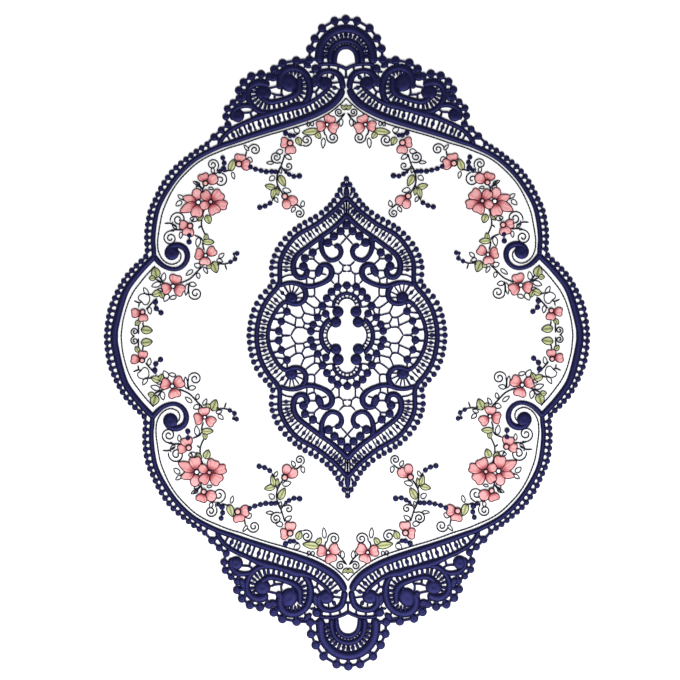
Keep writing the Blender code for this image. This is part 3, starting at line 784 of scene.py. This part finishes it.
def arc(x, y, radius, start, end, width, step=12):
    """Rows along an arc, from one angle to the other in degrees."""
    angles = np.radians(np.linspace(start, end, max(3, round(abs(end - start) / step) + 1)))
    columns = x + radius * np.cos(angles), y + radius * np.sin(angles), np.full(len(angles), width)
    return np.stack(columns, 1)


medal_parts = [satin(ring_of(MEDALLION_BAND), closed=True)]
medal_parts += satins(carried_over(UPPER_INNER, LONG_AXIS), UP_DOWN)
medal_lines = [smooth_line(tape, SEEK_STEP) for tape in (UPPER_INNER, MEDALLION_BAND, *MEDALLION_TAPES)]
for tape in MEDALLION_TAPES:
    if tape[-1][1] == 0:
        medal_parts += satins(carried_over(tape[::-1], SHORT_AXIS), LEFT_RIGHT)
    else:
        medal_parts += satins(tape)
for row in RIM_ARCS:
    rim = arc(*row)
    medal_lines.append(rim)
    if row[0] == 0:
        medal_parts += satins(carried_over(rim, LONG_AXIS), UP_DOWN, RIM_TALL)
    else:
        medal_parts += satins(carried_over(rim[::-1], SHORT_AXIS), LEFT_RIGHT, RIM_TALL)
for x, y, radius, start, end, count in RIM_RUNGS:
    for turn in np.radians(np.linspace(start, end, count)):
        spot = np.array((math.cos(turn), math.sin(turn)))
        rung = ((x, y) + spot * (radius - RIM_RUNG_IN), (x, y) + spot * (radius + RIM_RUNG_OUT))
        medal_parts += threads(rung, FINE_BAR, LEG_MIDDLE)
medal_parts += dots(in_quarters(MEDALLION_DISCS), DISC_HIGH)
medallion_tapes = sew("medallion_tapes", medal_parts, navy)
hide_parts("medallion")

net_parts = ladders(MEDALLION_LADDERS)
for bar in NET_BARS:
    net_parts += threads(bar, NET_WIDE, LEG_MIDDLE)
for turn in np.radians(FAN_ANGLES):
    tip = (FAN_HUB[0] + FAN_REACH * math.cos(turn), FAN_HUB[1] + FAN_REACH * math.sin(turn))
    net_parts += threads((FAN_HUB, tip), FINE_BAR, LEG_MIDDLE)
studs = {}
for string in STUD_STRINGS:
    for a, b in zip(string, string[1:]):
        net_parts += threads((a[:2], b[:2]), NET_WIDE, LEG_MIDDLE)
    for stud in string:
        studs[stud[:2]] = stud
for spot in studs:
    foot = nearest(spot, medal_lines)
    if math.dist(foot, spot) < STUD_LEG:
        net_parts += threads((spot, foot), NET_WIDE, LEG_MIDDLE)
net_parts += dots(in_quarters(list(studs.values())), PICOT_TALL)
sew("medallion_net_and_studs", net_parts, navy)

picot_line = smooth_line(MEDALLION_PICOT_LINE, 1 / PICOT_SPOTS)
spots = [min(round(place * PICOT_SPOTS), len(picot_line) - 1) for place in MEDALLION_PICOTS_AT[:-1]]
medal_picots = [picot_line[spot] for spot in (*spots, -1)]
edge_parts = dots(in_quarters([(x, y, PICOT_R) for x, y in medal_picots]), PICOT_TALL)
medal_band = [smooth_line(MEDALLION_BAND, SEEK_STEP)]
for picot in medal_picots[:-3]:
    neck = (picot, nearest(picot, medal_band))
    edge_parts += threads(neck, NECK_WIDE, LEG_MIDDLE, ways_for(*picot))
# The picots at the tip are strung together, with a bar on the axis and one to either side.
tip = medal_picots[-4:]
edge_parts += threads(carried_over(tip[::-1], LONG_AXIS), TIP_STRING, LEG_MIDDLE, UP_DOWN)
edge_parts += threads(((0, 95), (0, 86)), TIP_BAR, LEG_MIDDLE, UP_DOWN)
edge_parts += threads((tip[1], (2, 86)), TIP_STRUT, LEG_MIDDLE)
sew("medallion_picots", edge_parts, navy)


# ---- Stitched line ----
# A line of stem stitch in dark rayon thread, worked through the organza a few millimetres inside the satin
# band and round the scrolls, where each stitch lies over the end of the last.

LINE_WIDE = 0.95
LINE_MIDDLE = ORGANZA_TOP + 0.15
# Stem stitch: its length and points, its width where it passes under the next one, and how far it leans.
STITCH = 2.2
STITCH_POINTS = 5
STITCH_THIN = 0.72
STITCH_SLANT = 0.35
# Line in the side lobe, then the one round the scroll and along to the long axis (x, y).
STITCHED_LINE = (
    (137.4, 0), (137, 5), (136.4, 9.6), (135, 15.4), (133, 21.6), (130.1, 27.4), (126.8, 32), (122.6, 37.3),
    (117.2, 43.2),
)
SCROLL_LINE = (
    (103.8, 53), (102, 51.2), (101.4, 48.8), (102.6, 45.9), (106.2, 44.2), (109.9, 45), (113.2, 47.9),
    (115.2, 52.2), (115.7, 56.4), (115.6, 60.5), (114.5, 68.1), (113.1, 75.6), (110.6, 82.5), (107.3, 89.4),
    (103, 95.9), (97.9, 101.5), (92.3, 106.6), (85.9, 110.7), (78.8, 113.8), (71.6, 116.7), (63.9, 119),
    (56.4, 121.7), (48.8, 124.2), (41.1, 126.4), (33.4, 128.7), (25.6, 131.1), (17.8, 134.1), (10.3, 138.3),
    (3.1, 144.2), (0, 147.6),
)


def stem_stitch(rows):
    """Overlapping stitches along a line: a round thread that thins where one stitch passes under the next."""
    line = smooth_line([(row[0], row[1], LINE_WIDE) for row in rows], STITCH / STITCH_POINTS)
    beat = np.abs(np.sin(np.arange(len(line)) * math.pi / STITCH_POINTS))
    line[:, 2] *= STITCH_THIN + (1 - STITCH_THIN) * beat
    return sweep(line, ROUND, LINE_WIDE, LINE_MIDDLE - LINE_WIDE / 2, slant=STITCH_SLANT, twist=THREAD_TWIST)


# Dull rayon in a blue so dark that it reads as a line drawn in ink, with hardly any glint. Its stripes paint
# the darker colour as shade between the threads and the lighter one as a highlight along their tops.
ink = thread_finish("dark_outline_thread", ("070814", "14152E"), 0.8, gloss=0.1)
line_parts = [stem_stitch(line) for line in mirrored(carried_over(STITCHED_LINE, SHORT_AXIS), LEFT_RIGHT)]
line_parts += [stem_stitch(line) for line in mirrored(SCROLL_LINE)]
sew("stitched_line", line_parts, ink)


# ---- Flower sprays ----
# Sprays embroidered on the organza in rayon thread: stems, tendrils and open leaves in dark outline stitch,
# coral flowers outlined in wine red and yellow-green leaves outlined in dark thread, and strings of knots.

STEM_WIDE = 1.0
TENDRIL_WIDE = 0.85
FINE_WIDE = 0.7
STEM_MIDDLE = ORGANZA_TOP + 0.2
EDGE_WIDE = 0.75
EDGE_MIDDLE = ORGANZA_TOP + 0.35
EDGE_STEP = 0.9
TENDRIL_STEP = 0.8
EYE_TALL = 1.6
RING_WIDE = 1.1
RING_MIDDLE = ORGANZA_TOP + 1
RING_STEP = 0.7
KNOT_TALL = 1.25
KNOT_LOW = ORGANZA_TOP - 0.05
KNOT_THREAD = 0.9
# Stems, each a line of points (x, y).
STEMS = (
    ((87.5, 43.5), (91.2, 39.8), (95.8, 35.2), (102, 32.3)), ((96.2, 33.1), (96.7, 28.5), (96.2, 25.2)),
    ((109.8, 31.9), (113.7, 33.5), (117.2, 35.1)), ((112, 33), (115, 36.8)),
    ((117, 25), (119.3, 25.5), (121.2, 25.8)), ((115.6, 23.4), (117.7, 21.6), (122.6, 16.2)),
    ((125.2, 21.6), (126.4, 20.4), (130, 21.8)), ((126.6, 20.4), (127, 17.6)),
    ((86.6, 80), (87.6, 77), (88.6, 73.7), (89, 69.6), (88.7, 67.1), (87.7, 64.5), (86.5, 62.2)),
    ((89, 68.1), (91.1, 66.3)), ((98.4, 84), (101, 84)), ((104.4, 67.1), (107.6, 69.4), (111.8, 69.4)),
    ((100.9, 65.3), (104.8, 65.5), (108.4, 65)), ((40.3, 104.5), (39, 108.5), (37.8, 112.6)),
    ((40.3, 105.4), (41.5, 101.8), (42.7, 98.6), (42.6, 94.2), (41, 90.6), (39, 87.4)),
    ((37.2, 101), (38.8, 102.8), (40.3, 105.2)), ((42.2, 93.4), (43.8, 88.5), (45.6, 83)),
    ((41.4, 102), (44, 101.4)), ((0.6, 138.4), (2.6, 135.4), (5.3, 132.6), (8, 130)),
    ((87, 52.4), (87.9, 55), (88.3, 58)), ((71.4, 45), (75, 44.2), (79, 44.6)), ((74.5, 44), (73.3, 40.4)),
    ((61, 108.6), (62.2, 110.6)), ((88.2, 58.4), (89.4, 60.4), (93.6, 62.2)),
    ((87.2, 93.4), (88.2, 91), (88.6, 88)), ((88.2, 90.4), (90.4, 93), (93.2, 95.4)),
    ((93.4, 73), (95, 70.2)), ((24.2, 129.6), (24, 133)), ((29, 125.4), (32, 124.2)),
    ((70.4, 103), (75.8, 101.4)), ((79.4, 100.6), (81.7, 100.2), (83.3, 99.3)), ((126.9, 9), (126.9, 1)),
    ((124.1, 9), (124.2, 6.8), (123, 5.4)),
)
# Tendrils: middle, radius, angle at which the outer end starts, turns, and way of winding; then their stems.
TENDRILS = (
    (92.3, 26.1, 4.3, -10, 1.65, -1), (129.2, 2.8, 2.7, -90, 1.7, 1), (103.2, 71.9, 5.1, -15, 1.75, 1),
    (107.9, 60.2, 4.9, 118, 1.9, -1), (82.3, 106, 3.9, 215, 1.75, -1), (77.5, 96.2, 4.6, 97, 1.6, 1),
    (4.5, 138.7, 3, 195, 1.75, 1), (8.2, 122.7, 4.1, 20, 1.85, -1), (24.6, 121.1, 4, -50, 1.75, -1),
    (28.9, 75.4, 3.2, 120, 1.7, 1), (56.4, 115.2, 4, 5, 1.75, 1), (43, 110.5, 4, -130, 1.9, 1),
    (35.6, 104.9, 2.8, -40, 1.4, -1),
)
TENDRIL_STEMS = (
    ((96.2, 33), (96.8, 29), (96.4, 25.8)), ((106.9, 69.6), (106.4, 70.6)), ((79.6, 101.2), (79.2, 104)),
    ((77, 100.6), (79.6, 101)), ((13.6, 129.4), (13.6, 125.6), (12, 123.6)), ((29.6, 118.2), (26.9, 117.8)),
    ((33.4, 81.2), (30.4, 80.6), (27.3, 78.2)), ((62.2, 110.4), (61.4, 114.8)), ((39.6, 107), (40.6, 106.8)),
    ((38.6, 103.4), (37.4, 102.4)),
)
# Open leaves (x, y, length, width, angle of the tip), and one open bud with a notched tip.
OPEN_LEAVES = (
    (111.9, 36.4, 5.2, 2.8, 100), (116.4, 31.5, 6, 3, -20), (110.2, 23.4, 5, 3.2, -60),
    (106.2, 23.6, 4.4, 2.4, -15), (97.8, 28.5, 7.4, 2.2, -82), (93.9, 31.6, 4.4, 2.8, 190),
    (90.7, 36.9, 3.6, 2.2, -105), (96.2, 38.9, 5.4, 2.2, -38), (91.4, 43.3, 4, 3, 20),
    (122.7, 27.6, 5.2, 2.4, 60), (120.2, 15.6, 4.6, 2.4, -100), (91, 57.6, 6, 2.9, -80),
    (101.6, 62, 4.2, 2, -85), (105.6, 67.6, 4, 1.9, 45), (101.9, 85.9, 4.2, 2.2, 35),
    (103, 81.8, 4.6, 2.8, -40), (93.8, 72, 4.6, 3, 10), (92.2, 94.4, 4.8, 2, 25), (91, 91.4, 3.8, 2, 35),
    (82.2, 102.4, 3.4, 2.2, 80), (3.2, 132, 4.8, 2.4, -85), (14.2, 119.2, 6.4, 2.4, -85),
    (30.6, 127.4, 4.4, 3.2, 40), (41.2, 113.8, 4.6, 3, -15), (26.9, 81.4, 4, 2.4, 100),
    (32.7, 77.7, 4, 2.2, -60), (36.6, 89.6, 5.4, 3, 195), (45.8, 97.2, 4, 3, -40), (43.1, 83.8, 3.6, 2, -120),
    (47, 107, 4.6, 1.9, 0), (35.6, 110.4, 4.6, 2.6, 215), (61.6, 116.4, 4.6, 1.8, 50),
    (59.4, 108.8, 3.8, 3, 215), (69.6, 99, 4.6, 2, -105), (76.6, 49.4, 4.2, 2.4, 140),
    (86.2, 40.2, 4.6, 2, -120), (83.2, 91.1, 3.4, 1.6, 190), (114.2, 28.2, 3, 2.4, 20),
    (40.6, 102, 3.6, 1.8, -110), (21, 131.4, 2.6, 2, 90), (23.4, 131.2, 2.8, 1.6, 80),
    (77.6, 46.2, 4, 2.2, 200),
)
OPEN_BUD = (123.5, 22.9, 6.8, 7.2, -45)
# Filled leaves (x, y, length, width, angle of the tip, tone from yellow-green to olive).
LEAVES = (
    (116.8, 39.1, 6.6, 5.2, 75, 0.75), (118.9, 35.6, 3.8, 3, -5, 0.4), (112.9, 25.2, 4.8, 3, 245, 0.8),
    (116.2, 26.1, 5.8, 3.8, -22, 0.3), (121.8, 3.7, 7, 4.5, 187, 0.6), (127.6, 8, 3.8, 2.8, -50, 0.7),
    (84.8, 71.8, 5.6, 4, 250, 0.4), (89.6, 72.6, 5, 2, -50, 0.8), (84.6, 57.9, 7.2, 3.4, 183, 0.2),
    (86, 61, 4, 2.6, 100, 0.5), (80.6, 42, 6.8, 4.6, 250, 0.6), (80.2, 44.4, 4.6, 1.9, 200, 0.2),
    (84.2, 42.7, 3.6, 2.4, -40, 0.1), (70.4, 105.6, 7.6, 4, 108, 0.25), (1.7, 141.6, 4, 2, 40, 0.5),
    (0, 142, 3, 1.8, 90, 0.6), (17.3, 124, 4.6, 3.2, 235, 0.3), (22.2, 126.4, 10, 4, -8, 0.2),
    (29.3, 120.4, 5.2, 3.6, 250, 0.4), (39.5, 95.7, 7.6, 3.9, 242, 0.4), (46.9, 92, 6.6, 3.3, 14, 0.2),
    (44.9, 88, 7, 3, -76, 0.3), (42.4, 88.8, 4.8, 2, -100, 0.3),
)
# Flowers: eye (x, y, radius, and its colour), then petals (x, y, length away from the eye, width, shape, tone
# from pale pink to deep coral).
FLOWERS = (
    ((106, 30.5, 1.2, "white"),
     ((104.7, 35, 6.2, 7.4, "lobed", 0.5), (102.1, 28.2, 7.1, 7, "lobed", 0.6),
      (110.2, 29.2, 6.6, 6.6, "lobed", 0.7))),
    ((124.4, 14.8, 1.4, "pink"),
     ((124.1, 11.3, 5.5, 5.6, "lobed", 0.6), (128.9, 14.2, 5.8, 5.3, "lobed", 0.7))),
    ((86.2, 49.4, 1, "white"),
     ((82.6, 51.9, 6.6, 6, "lobed", 0.5), (90.2, 50.4, 5.8, 6.8, "lobed", 0.7),
      (86.6, 45.8, 5.6, 6.6, "lobed", 0.2))),
    ((83.3, 82.7, 1.2, "pink"),
     ((79.2, 86.4, 8.5, 7.7, "lobed", 0.6), (76.8, 81, 9, 5.7, "lobed", 0.7),
      (81.2, 78, 7.3, 7.2, "lobed", 0.6), (86.2, 86.5, 7.9, 5.9, "lobed", 0.8),
      (87, 80.6, 6.2, 5.3, "round", 0.6))),
    ((90.9, 82.4, 1.4, "white"),
     ((91.8, 87.3, 7.5, 5.7, "round", 0.3), (96.5, 84.4, 8.5, 5.2, "pointed", 0.6),
      (97.1, 79.2, 11.3, 5.9, "pointed", 0.7), (91.8, 76.8, 8.5, 7, "lobed", 0.5))),
    ((86.6, 94.2, 1.5, "pink"), ((82.4, 96.7, 7, 6.4, "round", 0.5), (87.9, 98, 5.6, 6.6, "lobed", 0.8))),
    ((95.8, 67.8, 1.6, "pink"), ((99.8, 68.4, 6.6, 5.3, "lobed", 0.6), (97, 64.2, 6.4, 7, "lobed", 0.4))),
    ((11.8, 130.7, 1, "white"),
     ((10.3, 134.3, 6, 7, "lobed", 0.4), (8.1, 128.9, 7.1, 6.6, "lobed", 0.4),
      (15.6, 129.9, 6.6, 6.4, "lobed", 0.6))),
    ((34.6, 119.2, 1.7, "pink"),
     ((38, 119.6, 5.8, 6.4, "lobed", 0.5), (34.4, 115.2, 6.4, 6.4, "lobed", 0.3))),
    ((37.9, 85.9, 1.7, "pink"), ((33.4, 83.4, 7, 5.9, "round", 0.5), (36.8, 81.2, 6.2, 5.2, "round", 0.4))),
    ((66.1, 106.2, 1.7, "pink"), ((65.4, 110, 5.8, 6.8, "lobed", 0.5), (62, 105.8, 6.2, 6.6, "lobed", 0.6))),
)
# Strings of knots (x, y, radius).
KNOT_STRINGS = (
    ((116.8, 20.9, 1.8), (116.2, 16.9, 1.7), (113.3, 14.3, 1.7)), ((96.3, 62.1, 1.6), (96.5, 57.9, 1.7)),
    ((76.1, 110.2, 1.6), (75.2, 106.9, 1.6), (75.6, 103.4, 1.8), (77.7, 102, 1.3)),
    ((28.9, 98.7, 1.8), (32.3, 98.4, 1.6), (35.2, 99.7, 1.5), (37.2, 101, 1.1)),
    ((46.9, 81.8, 1.6), (50, 80, 1.6), (53.3, 79.2, 1.7)),
    ((32.4, 124, 1.4), (34.6, 124.1, 1.6), (37.4, 125.5, 1.7)),
    ((43.6, 101.4, 1.5), (46, 101.5, 1.6), (49.3, 101.4, 1.7), (52.5, 102.1, 1.6), (55.9, 103, 1.6),
     (59.1, 104.4, 1.6)),
    ((67, 50.7, 1.5), (69, 50.4, 0.9), (68.3, 47.2, 1.5), (71.1, 45.4, 1.4)),
)
# Outlines: the notch in a lobed tip, how far a lobed or round petal widens to its tip, and how sharp a
# pointed one is and how far it narrows.
NOTCH_DEEP = 0.3
NOTCH_WIDE = 0.42
LOBED_FLARE = 0.22
ROUND_FLARE = 0.12
POINT_SHARP = 0.45
POINT_TAPER = 0.28
# Padding of a petal or leaf, how much higher each petal lies than the one it laps over, how deep the edge is
# sunk, and the rings from edge to middle (share of the outline, share of the padding).
PETAL_TALL = 0.75
PETAL_LIFT = 0.14
PETAL_SUNK = 0.1
PATCH_RINGS = ((1.0, 0.3), (0.93, 0.7), (0.72, 0.92), (0.42, 1.0), (0.15, 0.97), (0.04, 0.96))
# Crease along the middle: its depth and width, and the share of the outline that it stays inside.
CREASE_DEEP = 0.22
CREASE_WIDE = 0.1
CREASE_INSIDE = 0.9
# Lay of the threads: where behind its middle a petal's fan starts and how wide it opens, in lengths, and how
# far a leaf's threads lean back from the midrib.
FAN_BEHIND = 0.62
FAN_OPENS = 0.8
RIB_LEAN = 0.7
# Tones: weight of a row's own tone; the shade at a petal's base, where it starts to fade and over how much of
# the length; the shade along a leaf's midrib, and its width.
TONE_WEIGHT = 0.3
BASE_SHADE = 0.6
BASE_FROM = 0.12
BASE_FADE = 0.42
RIB_SHADE = 0.5
RIB_WIDE = 0.13
# Tendrils: points in a turn, and how far and how evenly they wind in.
TENDRIL_POINTS = 20
TENDRIL_WOUND = 0.86
TENDRIL_EVEN = 0.85


def leaf_line(x, y, length, width, angle, shape, count=26):
    """Closed outline of a petal or leaf round its middle, its tip at the given angle."""
    t = np.arange(count) / count * 2 * math.pi
    along = np.cos(t)
    across = np.sin(t)
    if shape == "lobed":
        from_tip = (t + math.pi) % (2 * math.pi) - math.pi
        along = along - NOTCH_DEEP * np.exp(-((from_tip / NOTCH_WIDE) ** 2))
        across = across * (1 + LOBED_FLARE * np.cos(t))
    elif shape == "round":
        across = across * (1 + ROUND_FLARE * np.cos(t))
    else:
        across = across * np.abs(np.sin(t)) ** POINT_SHARP * (1 - POINT_TAPER * np.cos(t))
    turn = math.radians(angle)
    along = along * length / 2
    across = across * width / 2
    return np.stack([
        x + along * math.cos(turn) - across * math.sin(turn),
        y + along * math.sin(turn) + across * math.cos(turn),
    ], 1)


def patch(x, y, length, width, angle, shape, tone, fan, lift=0.0):
    """A padded patch of satin stitch and its tones; its threads fan from the base or run as a leaf's."""
    edge = leaf_line(x, y, length, width, angle, shape)
    count = len(edge)
    turn = math.radians(angle)
    base = np.array((x - math.cos(turn) * length * FAN_BEHIND, y - math.sin(turn) * length * FAN_BEHIND))
    points = [np.column_stack([edge, np.full(count, ORGANZA_TOP - PETAL_SUNK)])]
    for share, up in PATCH_RINGS:
        ring = (edge - (x, y)) * share + (x, y)
        side = -(ring[:, 0] - x) * math.sin(turn) + (ring[:, 1] - y) * math.cos(turn)
        crease = CREASE_DEEP * np.exp(-((side / (CREASE_WIDE * width)) ** 2)) * (share < CREASE_INSIDE)
        points.append(np.column_stack([ring, ORGANZA_TOP + lift + PETAL_TALL * (up - crease)]))
    points = np.concatenate(points)
    faces = [tuple(range(count - 1, -1, -1))]
    rings = len(PATCH_RINGS) + 1
    for k in range(rings - 1):
        for s in range(count):
            n = (s + 1) % count
            faces.append((k * count + s, k * count + n, (k + 1) * count + n, (k + 1) * count + s))
    faces.append(tuple((rings - 1) * count + s for s in range(count)))
    local = points[:, :2] - base
    along = local @ (math.cos(turn), math.sin(turn))
    side = local @ (-math.sin(turn), math.cos(turn))
    if fan:
        coords = np.stack([np.arctan2(side, along) * length * FAN_OPENS, np.hypot(side, along)], 1)
        shade = BASE_SHADE * np.clip(1 - (along / length - BASE_FROM) / BASE_FADE, 0, 1)
    else:
        coords = np.stack([along - np.abs(side) * RIB_LEAN, side], 1)
        shade = RIB_SHADE * np.exp(-((side / (RIB_WIDE * width)) ** 2))
    return (points, faces, coords), TONE_WEIGHT * tone + shade


def turned(angle, across, along):
    """An angle in degrees as seen in another quarter."""
    if across < 0:
        angle = 180 - angle
    return angle * along


def tendril(x, y, radius, start, turns, way):
    """Points of a spiral that winds in from its start angle, anticlockwise when way is 1."""
    share = np.linspace(0, 1, round(turns * TENDRIL_POINTS) + 1)
    angle = math.radians(start) + way * turns * 2 * math.pi * share
    reach = radius * (1 - TENDRIL_WOUND * share**TENDRIL_EVEN)
    return np.stack([x + reach * np.cos(angle), y + reach * np.sin(angle)], 1)


stem_parts = []
for stem in (*STEMS, *TENDRIL_STEMS):
    stem_parts += threads(stem, STEM_WIDE, STEM_MIDDLE)
for row in TENDRILS:
    stem_parts += threads(tendril(*row), TENDRIL_WIDE, STEM_MIDDLE, step=TENDRIL_STEP)
outlines = [leaf_line(*row, "pointed", count=14) for row in OPEN_LEAVES]
for outline in (*outlines, leaf_line(*OPEN_BUD, "lobed", count=20)):
    stem_parts += threads(outline, FINE_WIDE, STEM_MIDDLE, step=EDGE_STEP, closed=True)
sew("stems_and_tendrils", stem_parts, ink)

leaf_parts, leaf_tones, leaf_edges = [], [], []
for x, y, length, width, angle, tone in LEAVES:
    for across, along in ways_for(x, y):
        spot = (x * across, y * along, length, width, turned(angle, across, along), "pointed")
        part, tones = patch(*spot, tone, fan=False)
        leaf_parts.append(part)
        leaf_tones.append(tones)
        leaf_edges.append(thread(leaf_line(*spot), EDGE_WIDE, EDGE_MIDDLE, EDGE_STEP, closed=True))
petal_parts, petal_tones, petal_edges, ring_parts = [], [], [], []
eye_parts = {"white": [], "pink": []}
for (eye_x, eye_y, eye_r, kind), petals in FLOWERS:
    for order, (x, y, length, width, shape, tone) in enumerate(petals):
        lift = PETAL_LIFT * order
        angle = math.degrees(math.atan2(y - eye_y, x - eye_x))
        for across, along in QUARTERS:
            spot = (x * across, y * along, length, width, turned(angle, across, along), shape)
            part, tones = patch(*spot, tone, fan=True, lift=lift)
            petal_parts.append(part)
            petal_tones.append(tones)
            edge = leaf_line(*spot)
            petal_edges.append(thread(edge, EDGE_WIDE, EDGE_MIDDLE + lift, EDGE_STEP, closed=True))
    ring = arc(eye_x, eye_y, eye_r, start=0, end=330, width=0, step=30)
    ring_parts += threads(ring, RING_WIDE, RING_MIDDLE, step=RING_STEP, closed=True)
    eye_parts[kind] += dots(in_quarters([(eye_x, eye_y, eye_r)]), EYE_TALL, ORGANZA_TOP)

# Leaves run from yellow-green to a dark midrib; petals from pale pink to coral, with wine-red streaks that
# spread from the eye and a wine-red outline. The eyes are dots of plain thread in a dark ring.
LEAF_DYES = ("CFCFA4", "B2B582", "848A5C", "3E4632")
PETAL_DYES = ("E8C4C4", "D4999A", "B25A5E", "4A1829")
# Eye threads: the first colour is painted shade between the threads and the second a painted highlight along
# their tops, mixed with uneven dye.
EYE_DYES_AND_PAINTED_SHADE = {"white": ("E4E2EA", "FFFFFF"), "pink": ("C98583", "EBBAB4")}
green = thread_finish("green_rayon_satin", LEAF_DYES, 0.8, mottle=0.6, spread=0.2, toned=True)
# The wine outline's stripes paint its darker colour as shade between the threads and its lighter one as a
# highlight along their tops.
wine = thread_finish("wine_outline_thread", ("340A1B", "52182A"), 0.8, gloss=0.1)
coral = thread_finish("coral_rayon_satin", PETAL_DYES, 0.7, mottle=0.75, spread=0.13, toned=True)
sew("leaves", leaf_parts, green, leaf_tones)
sew("petals", petal_parts, coral, petal_tones)
sew("leaf_outlines", leaf_edges, ink)
sew("petal_outlines", petal_edges, wine)
sew("eye_rings", ring_parts, ink)
for kind, dyes_and_painted_shade in EYE_DYES_AND_PAINTED_SHADE.items():
    sew(kind + "_flower_eyes", eye_parts[kind], thread_finish(kind + "_eye_thread", dyes_and_painted_shade, 0.7))
knot_parts = []
for string in KNOT_STRINGS:
    knot_parts += dots(in_quarters(string), KNOT_TALL, KNOT_LOW)
    knot_parts += threads([knot[:2] for knot in string], KNOT_THREAD, STEM_MIDDLE)
sew("thread_knots", knot_parts, navy)


# ---- Floor, light and camera ----
# A white floor, two soft lamps on the near side that leave no hard shadow, and a camera that looks almost
# straight down from 0.9 m.

FLOOR_SIZE = 8
FLOOR_LOW = -0.0001
GRAINS_PER_METRE = 400.0
ROOM_LIGHT = 0.3
# Lamps (name, place, size, power), in metres and watts.
LAMPS = (("overhead_softbox", (0, -0.6, 1.5), 1.2, 12), ("near_softbox", (0.1, -0.6, 0.75), 0.6, 11))
# Camera: how far it stands from the doily, its tilt and roll, and the point it looks at.
CAMERA_FAR = 0.897
CAMERA_TILT = math.radians(5.64)
CAMERA_ROLL = math.radians(-0.195)
AIM = (-0.0046, -0.0026)

bpy.ops.mesh.primitive_plane_add(size=FLOOR_SIZE, location=(0, 0, FLOOR_LOW))
floor = bpy.context.object
floor.name = "floor"
floor.data.name = "floor"
# Matt white paper, which gives an even ground without a glint.
floor_paper, tree, shader = material_for("white_paper_floor")
place = node(tree, "ShaderNodeTexCoord")
noise = {"Vector": place.outputs["Object"], "Scale": GRAINS_PER_METRE, "Detail": 2.0}
grain = node(tree, "ShaderNodeTexNoise", noise)
shades = {0: grain.outputs["Fac"], 6: linear("FAFAFA"), 7: linear("FFFFFF")}
tint = node(tree, "ShaderNodeMix", shades, data_type="RGBA")
feed(tree, shader, {"Base Color": tint.outputs[2], "Roughness": 0.85})
floor.data.materials.append(floor_paper)

world = bpy.data.worlds.new("soft_white_room")
bpy.context.scene.world = world
world.use_nodes = True
room = {"Color": linear("FFFFFF"), "Strength": ROOM_LIGHT}
feed(world.node_tree, world.node_tree.nodes["Background"], room)

for name, spot, size, power in LAMPS:
    bpy.ops.object.light_add(type="AREA", location=spot)
    lamp = bpy.context.object
    lamp.name = name
    lamp.data.name = name
    lamp.data.size = size
    lamp.data.energy = power
    lamp.rotation_euler = Vector(spot).to_track_quat("Z", "Y").to_euler()

eye = bpy.data.cameras.new("camera")
eye.sensor_width = 36
eye.lens = 78
camera = bpy.data.objects.new("camera", eye)
camera.location = (AIM[0], AIM[1] - CAMERA_FAR * math.sin(CAMERA_TILT), CAMERA_FAR * math.cos(CAMERA_TILT))
camera.rotation_euler = (CAMERA_TILT, 0, CAMERA_ROLL)
bpy.context.scene.collection.objects.link(camera)
bpy.context.scene.camera = camera
bpy.context.scene.view_settings.view_transform = "Standard"
